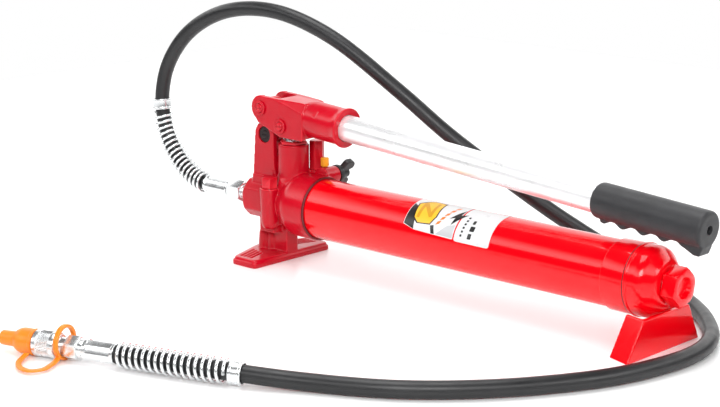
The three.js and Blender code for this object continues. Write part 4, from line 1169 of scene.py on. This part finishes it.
def make_plunger():
    at = (PUMP_X, 0, 0)
    profile = [
        (56, 0), (56, PLUNGER_R - 1), (57, PLUNGER_R), (127, PLUNGER_R), (129, PLUNGER_R - 1.5),
        (129, 0),
    ]
    shank = turned("ram", profile, "z", at)
    half = TONGUE_HALF_WIDTH
    tongue = block("tongue", PUMP_X - 7.4, PUMP_X + 7.4, -half, half, 122, PLUNGER_PIN_Z)
    eye = rod("eye", "y", (PUMP_X, 0, PLUNGER_PIN_Z), -half, half, 9.1)
    hole = rod("hole", "y", (PUMP_X, 0, PLUNGER_PIN_Z), -9, 9, PIN_R + 0.05)
    cut(joined(shank, tongue, eye), hole)
    bevelled(shank, 0.4, 2, 40)
    finished(shank, "plunger", STEEL, ["plunger"])
    nut = hexagonal("gland", "z", at, CYLINDER_TOP + 0.3, CYLINDER_TOP + 3, 25, 0.4)
    bore = rod("bore", "z", at, 100, 130, PLUNGER_R + 0.05)
    sleeve = rod("sleeve", "z", at, CYLINDER_TOP - 11.5, CYLINDER_TOP + 1, 12)
    cut(joined(nut, sleeve), bore)
    finished(nut, "pump_body", CAST_PAINT, ["gland_nut"])


def make_link():
    x = LEVER_PIN_X
    slot = 2.6
    half = LINK_HALF_WIDTH
    upper = rod("link_bar", "y", (x, 0, LEVER_PIN_Z), -half, half, LINK_TOP_R)
    eyes = [(x - slot, 0, POST_PIN_Z), (x + slot, 0, POST_PIN_Z)]
    lower = [rod("eye", "y", at, -half, half, LINK_EYE_R) for at in eyes]
    middle = block("middle", x - slot, x + slot, -half, half, POST_PIN_Z - 8.3, POST_PIN_Z + 8.3)
    bar = block("bar", x - 6, x + 6, -half, half, POST_PIN_Z, LEVER_PIN_Z)
    joined(upper, *lower, middle, bar)
    softened(upper, 0.5, 6)
    holes = [rod("hole", "y", (x, 0, LEVER_PIN_Z), -9, 9, PIN_R + 0.05)]
    holes += [rod("end", "y", at, -9, 9, 5) for at in eyes]
    holes.append(block("gap", x - slot, x + slot, -9, 9, POST_PIN_Z - 4.99, POST_PIN_Z + 4.99))
    cut(upper, *holes)
    finished(upper, "link", CAST_PAINT, ["link"], 45)


def cheek_outline():
    j = JOINT_X
    points = [
        (j - 73.5, 139.6), (j - 50, 131.2), (j - 43, 128.4), (j - 13, 128), (j - 12, 129),
        (j - 12, 165),
    ]
    for step in range(25):
        angle = math.radians(75 + (238 - 75) * step / 24)
        height = LEVER_PIN_Z + LOBE_R * math.sin(angle)
        points.append((LEVER_PIN_X + LOBE_R * math.cos(angle), height))
    return points


FACET_LEAN = math.radians(33)
FACET_SLOPE = math.radians(15.7)
HANDLE_PLACE = Matrix.Translation(HANDLE_AXIS * MM) @ Matrix.Rotation(HANDLE_SLOPE, 4, "Y")


def on_handle(obj):
    obj.data.transform(HANDLE_PLACE)
    return obj


def facet(side):
    """What the slanted face takes off the top of a cheek, beside the socket."""
    low, high = sorted((0, 20 * side))
    wedge = block("facet", -20, 45, low, high, 0, 24)
    lean = Matrix.Rotation(side * FACET_LEAN, 4, "X")
    slope = Matrix.Rotation(FACET_SLOPE, 4, "Y")
    place = Matrix.Translation(Vector((JOINT_X - 40, side * LEVER_HALF_WIDTH, 163)) * MM)
    wedge.data.transform(place @ slope @ lean)
    return wedge


def make_lever():
    j = JOINT_X
    inner = LEVER_HALF_WIDTH - CHEEK
    cheeks = [
        prism("cheek", cheek_outline(), "y", low, high)
        for low, high in ((-LEVER_HALF_WIDTH, -inner), (inner, LEVER_HALF_WIDTH))
    ]
    web_outline = [
        (j - 50, 151.6), (j - 31, 151.6), (j - 28, 129), (j - 12.5, 129), (j - 12.5, 164.6),
        (j - 50, 165.9),
    ]
    half = LEVER_HALF_WIDTH - 1
    web = prism("lever_arm", rounded(web_outline, 2), "y", -half, half)
    profile = [
        (-72, 0), (-72, 10), (-46, SOCKET_R), (-7, SOCKET_R), (-1, SOCKET_R + 1.7),
        (0, SOCKET_R + 1.2), (0, 0),
    ]
    socket = on_handle(softly_turned("socket", profile, [0, 3, 6, 5, 0.8, 0.8, 0], "x"))
    pocket = joined(
        rod("pocket", "y", (PUMP_X, 0, PLUNGER_PIN_Z), -13, 13, 11.4),
        block("opening", j - 100, PUMP_X, -13, 13, 100, 151),
        rod("lobe_gap", "y", (LEVER_PIN_X, 0, LEVER_PIN_Z), -13, 13, 14),
    )
    lever = joined(cut(joined(web, socket), pocket), *cheeks)
    cut(lever, facet(-1), facet(1))
    softened(lever, 0.65, 4)
    bore = on_handle(rod("bore", "x", (0, 0, 0), -43, 3, SOCKET_BORE_R))
    holes = [
        rod("hole", "y", (x, 0, z), -25, 25, PIN_R + 0.3)
        for x, z in ((LEVER_PIN_X, LEVER_PIN_Z), (PUMP_X, PLUNGER_PIN_Z))
    ]
    cut(lever, bore, *holes)
    finished(lever, "lever", CAST_PAINT, ["lever_socket"], 50)


def cross_pin(name, x, z, half):
    profile = [
        (-half, 0), (-half, PIN_R - 0.9), (0.9 - half, PIN_R), (half - 0.9, PIN_R),
        (half, PIN_R - 0.9), (half, 0),
    ]
    pin = softly_turned(name, profile, 0.4, "y", (x, 0, z), steps=3)
    slots = [
        block("slot", x - 5, x + 5, low, high, z - 0.6, z + 0.6)
        for low, high in ((-half - 1, 1 - half), (half - 1, half + 1))
    ]
    return cut(pin, *slots)


def make_pins():
    pins = (("lever_pin", LEVER_PIN_X, LEVER_PIN_Z), ("plunger_pin", PUMP_X, PLUNGER_PIN_Z))
    for name, x, z in pins:
        pin = cross_pin(name + "_turned", x, z, LEVER_HALF_WIDTH + 3)
        finished(pin, "lever", CAST_PAINT, [name])
        for end, side in (("near", -1), ("far", 1)):
            places = (side * (LEVER_HALF_WIDTH + 0.3), side * (LEVER_HALF_WIDTH + 1.9))
            profile = ring_profile(min(places), max(places), PIN_R + 0.3, PIN_RING_R, 0.4)
            ring = turned(f"{name}_clip_{end}", profile, "y", (x, 0, z))
            finished(ring, "lever", CAST_PAINT, [f"{name}_ring_{end}"])
    low_pin = cross_pin("post_pin_turned", POST_PIN_X, POST_PIN_Z, POST_HALF_WIDTH - 0.2)
    for side in (-1, 1):
        start, end = sorted((9.5 * side, 11 * side))
        profile = ring_profile(start, end, 4.4, PIN_CLIP_R, 0.3)
        joined(low_pin, turned("pin_clip", profile, "y", (POST_PIN_X, 0, POST_PIN_Z)))
    # The post pin and its clips are near-black: painted shade for the shadow in the hole they sit
    # in.
    finished(low_pin, "pump_body", PIN_HOLE_SHADOW_BLACK, ["post_pin"])


# ---------------------------------------------------------------- handle


def make_handle():
    profile = ring_profile(-40, GRIP_END - 4.3, HANDLE_R - 2.5, HANDLE_R, 0.4)
    tube = on_handle(turned("handle_bar", profile, "x", (0, 0, 0), 160))
    finished(tube, "handle", CHROME, ["handle_tube"])


def keel_outline():
    """The grip's underside: four finger scallops, then a guard lobe."""
    start = GRIP_START
    end = GRIP_END
    pitch = 21
    points = [(start + 6, 0), (start + 8, -17)]
    for finger in range(4):
        left = start + 10 + finger * pitch
        for step in range(1, 13):
            t = step / 12
            x = left + pitch * t
            low = -17.6 - 0.8 * math.cos(2 * math.pi * t)
            rise = 3.0 * math.sin(math.pi * t) ** 2
            points.append((x, low + rise))
    points += [(end - 9, -22.5), (end - 3, -22.5), (end - 0.5, -15), (end - 0.5, 0)]
    return points


def make_grip():
    profile = [
        (GRIP_START, 0), (GRIP_START, 14.5), (GRIP_START + 2, 16), (GRIP_END - 2, 16.5),
        (GRIP_END, 15), (GRIP_END, 0),
    ]
    core = softly_turned("hand_grip", profile, 1.5, "x")
    keel = prism("keel", keel_outline(), "y", -8, 8)
    joined(core, keel)
    softened(core, 0.7, 12)
    bore = rod("bore", "x", (0, 0, 0), GRIP_START - 2, GRIP_END - 4, HANDLE_R + 0.3)
    vent = rod("vent", "x", (0, 0, 0), GRIP_END - 6, GRIP_END + 1, 3.2, 4.4, 24)
    cut(core, bore, vent)
    on_handle(core)
    finished(core, "handle", GRIP_RUBBER, ["grip"], 50)


# ---------------------------------------------------------------- release valve


WING_LEAN = math.radians(-62)


def make_release():
    at = (KNOB_X, 0, KNOB_Z)
    spindle = rod("spindle", "y", at, 19.6, 27.5, 4.9)
    joined(spindle, rod("stem", "y", at, 27, 39, 3.5))
    bevelled(spindle, 0.3, 2)
    finished(spindle, "release_valve", STEEL, ["release_spindle"])
    profile = [(28.5, 0), (28.5, 9.5), (33, 9.5), (35, 6), (45, 5), (46, 0)]
    boss = turned("wing_knob", profile, "y", at)
    half = rounded([(6, 33), (15, 38), (15, 47), (9, 50.4), (5, 46.5)], 3)
    outline = [(0, 33), *half, (0, 44)]
    wings = []
    for side in (1, -1):
        wing = prism("wing", [(side * a, b) for a, b in outline], "z", -3, 3)
        wing.data.transform(Matrix.Rotation(WING_LEAN, 4, "Y"))
        wing.data.transform(Matrix.Translation(Vector(at) * MM))
        wings.append(wing)
    joined(boss, *wings)
    softened(boss, 0.45, 7)
    cut(boss, rod("hole", "y", at, 20, 40, 3.8))
    finished(boss, "release_valve", KNOB_PLASTIC, ["release_knob"], 60)


# ---------------------------------------------------------------- carried-over CAD nodes


def paint_inner_nodes():
    """Pieces inside the pump keep their CAD shapes and get these materials."""
    steel = ("outlet_ball", "outlet_spring", "inlet_ball", "suction_tube")
    seals = ("tube_seal_front", "tube_seal_rear", "plunger_seal")
    looks = {name: STEEL for name in steel}
    looks["suction_strainer"] = BRASS
    looks.update({name: SEAL_RUBBER for name in seals})
    for name, look in looks.items():
        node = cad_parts[name]
        node.data.materials.clear()
        node.data.materials.append(look)


make_head()
make_valves()
make_reservoir()
make_seam_shadow_rings()
make_rear_plug()
make_rear_foot()
make_labels()
make_plunger()
make_link()
make_lever()
make_pins()
make_handle()
make_grip()
make_release()
paint_inner_nodes()

# ---------------------------------------------------------------- studio


FLOOR_HALF = 1.3
WHITE = (1.0, 1.0, 1.0)

# The backdrop is ahead of the camera. It starts to show in directions whose dot product with
# BACKDROP is BACKDROP_START, and hides the room from BACKDROP_FULL on.
BACKDROP = Vector((-0.68, 0.73, 0))
BACKDROP_START = 0.66
BACKDROP_FULL = 0.9
BACKDROP_LEVEL = (1.5, 1.5, 1.5)

# Brightness of the room by height, from the level (0) to straight up (1). The first one holds
# for everything below the level.
ROOM_BANDS = [
    (0.0, 0.8), (0.02, 0.05), (0.34, 0.05), (0.38, 3.0), (0.5, 3.4), (0.62, 1.4), (0.69, 0.05),
]


def make_floor():
    mesh = bpy.data.meshes.new("floor")
    size = FLOOR_HALF
    corners = [(-size, -size, 0), (size, -size, 0), (size, size, 0), (-size, size, 0)]
    mesh.from_pydata(corners, [], [(0, 1, 2, 3)])
    floor = linked(bpy.data.objects.new("floor", mesh))
    look = Look("floor", Roughness=0.3, Specular_IOR_Level=0.4)
    look.shader.inputs["Base Color"].default_value = (0.95, 0.95, 0.95, 1)
    floor.data.materials.append(look.material)


# Each light's name, its place, where it points, its size in metres and its power in watts.
LIGHTS = (
    ("overhead", (-0.2, -0.1, 2.3), (0, 0, 0), (1.8, 1.3), 36),
    ("near_right", (1.3, -1.7, 1.3), (0, 0, 0.1), (0.9, 0.7), 22),
    ("right", (1.9, 0.1, 0.9), (0.1, 0, 0.1), (0.6, 0.6), 5),
)


def area_light(name, at, towards, size, power):
    data = bpy.data.lights.new(name, "AREA")
    data.shape = "RECTANGLE"
    data.size, data.size_y = size
    data.energy = power
    light = linked(bpy.data.objects.new(name, data))
    light.location = at
    light.rotation_mode = "QUATERNION"
    light.rotation_quaternion = (Vector(towards) - Vector(at)).to_track_quat("-Z", "Y")


def make_world():
    """A white backdrop, with a darker room and a long window in it to give the paint its bands."""
    world = bpy.data.worlds.new("studio")
    world.use_nodes = True
    tree = Nodes(world.node_tree)
    where = tree.node("ShaderNodeTexCoord").outputs["Generated"]
    height = tree.node("ShaderNodeSeparateXYZ", {"Vector": where}).outputs["Z"]
    room = tree.node("ShaderNodeValToRGB", {"Fac": height})
    ramp = room.color_ramp
    while len(ramp.elements) < len(ROOM_BANDS):
        ramp.elements.new(0.5)
    for element, (position, level) in zip(ramp.elements, ROOM_BANDS):
        element.position = position
        element.color = (level, level, level, 1)
    facing = tree.node("ShaderNodeVectorMath", {0: where, 1: BACKDROP}, operation="DOT_PRODUCT")
    share = tree.between(facing.outputs["Value"], 0.0, 1.0, BACKDROP_START, BACKDROP_FULL)
    lighting = tree.mix(share, room.outputs["Color"], BACKDROP_LEVEL)
    direct = tree.node("ShaderNodeLightPath").outputs["Is Camera Ray"]
    background = tree.nodes["Background"]
    tree.feed(background.inputs["Color"], tree.mix(direct, lighting, WHITE))
    background.inputs["Strength"].default_value = 1.0
    return world


def make_studio():
    scene = bpy.context.scene
    scene.view_settings.view_transform = "Standard"
    scene.world = make_world()
    make_floor()
    for light in LIGHTS:
        area_light(*light)


make_studio()
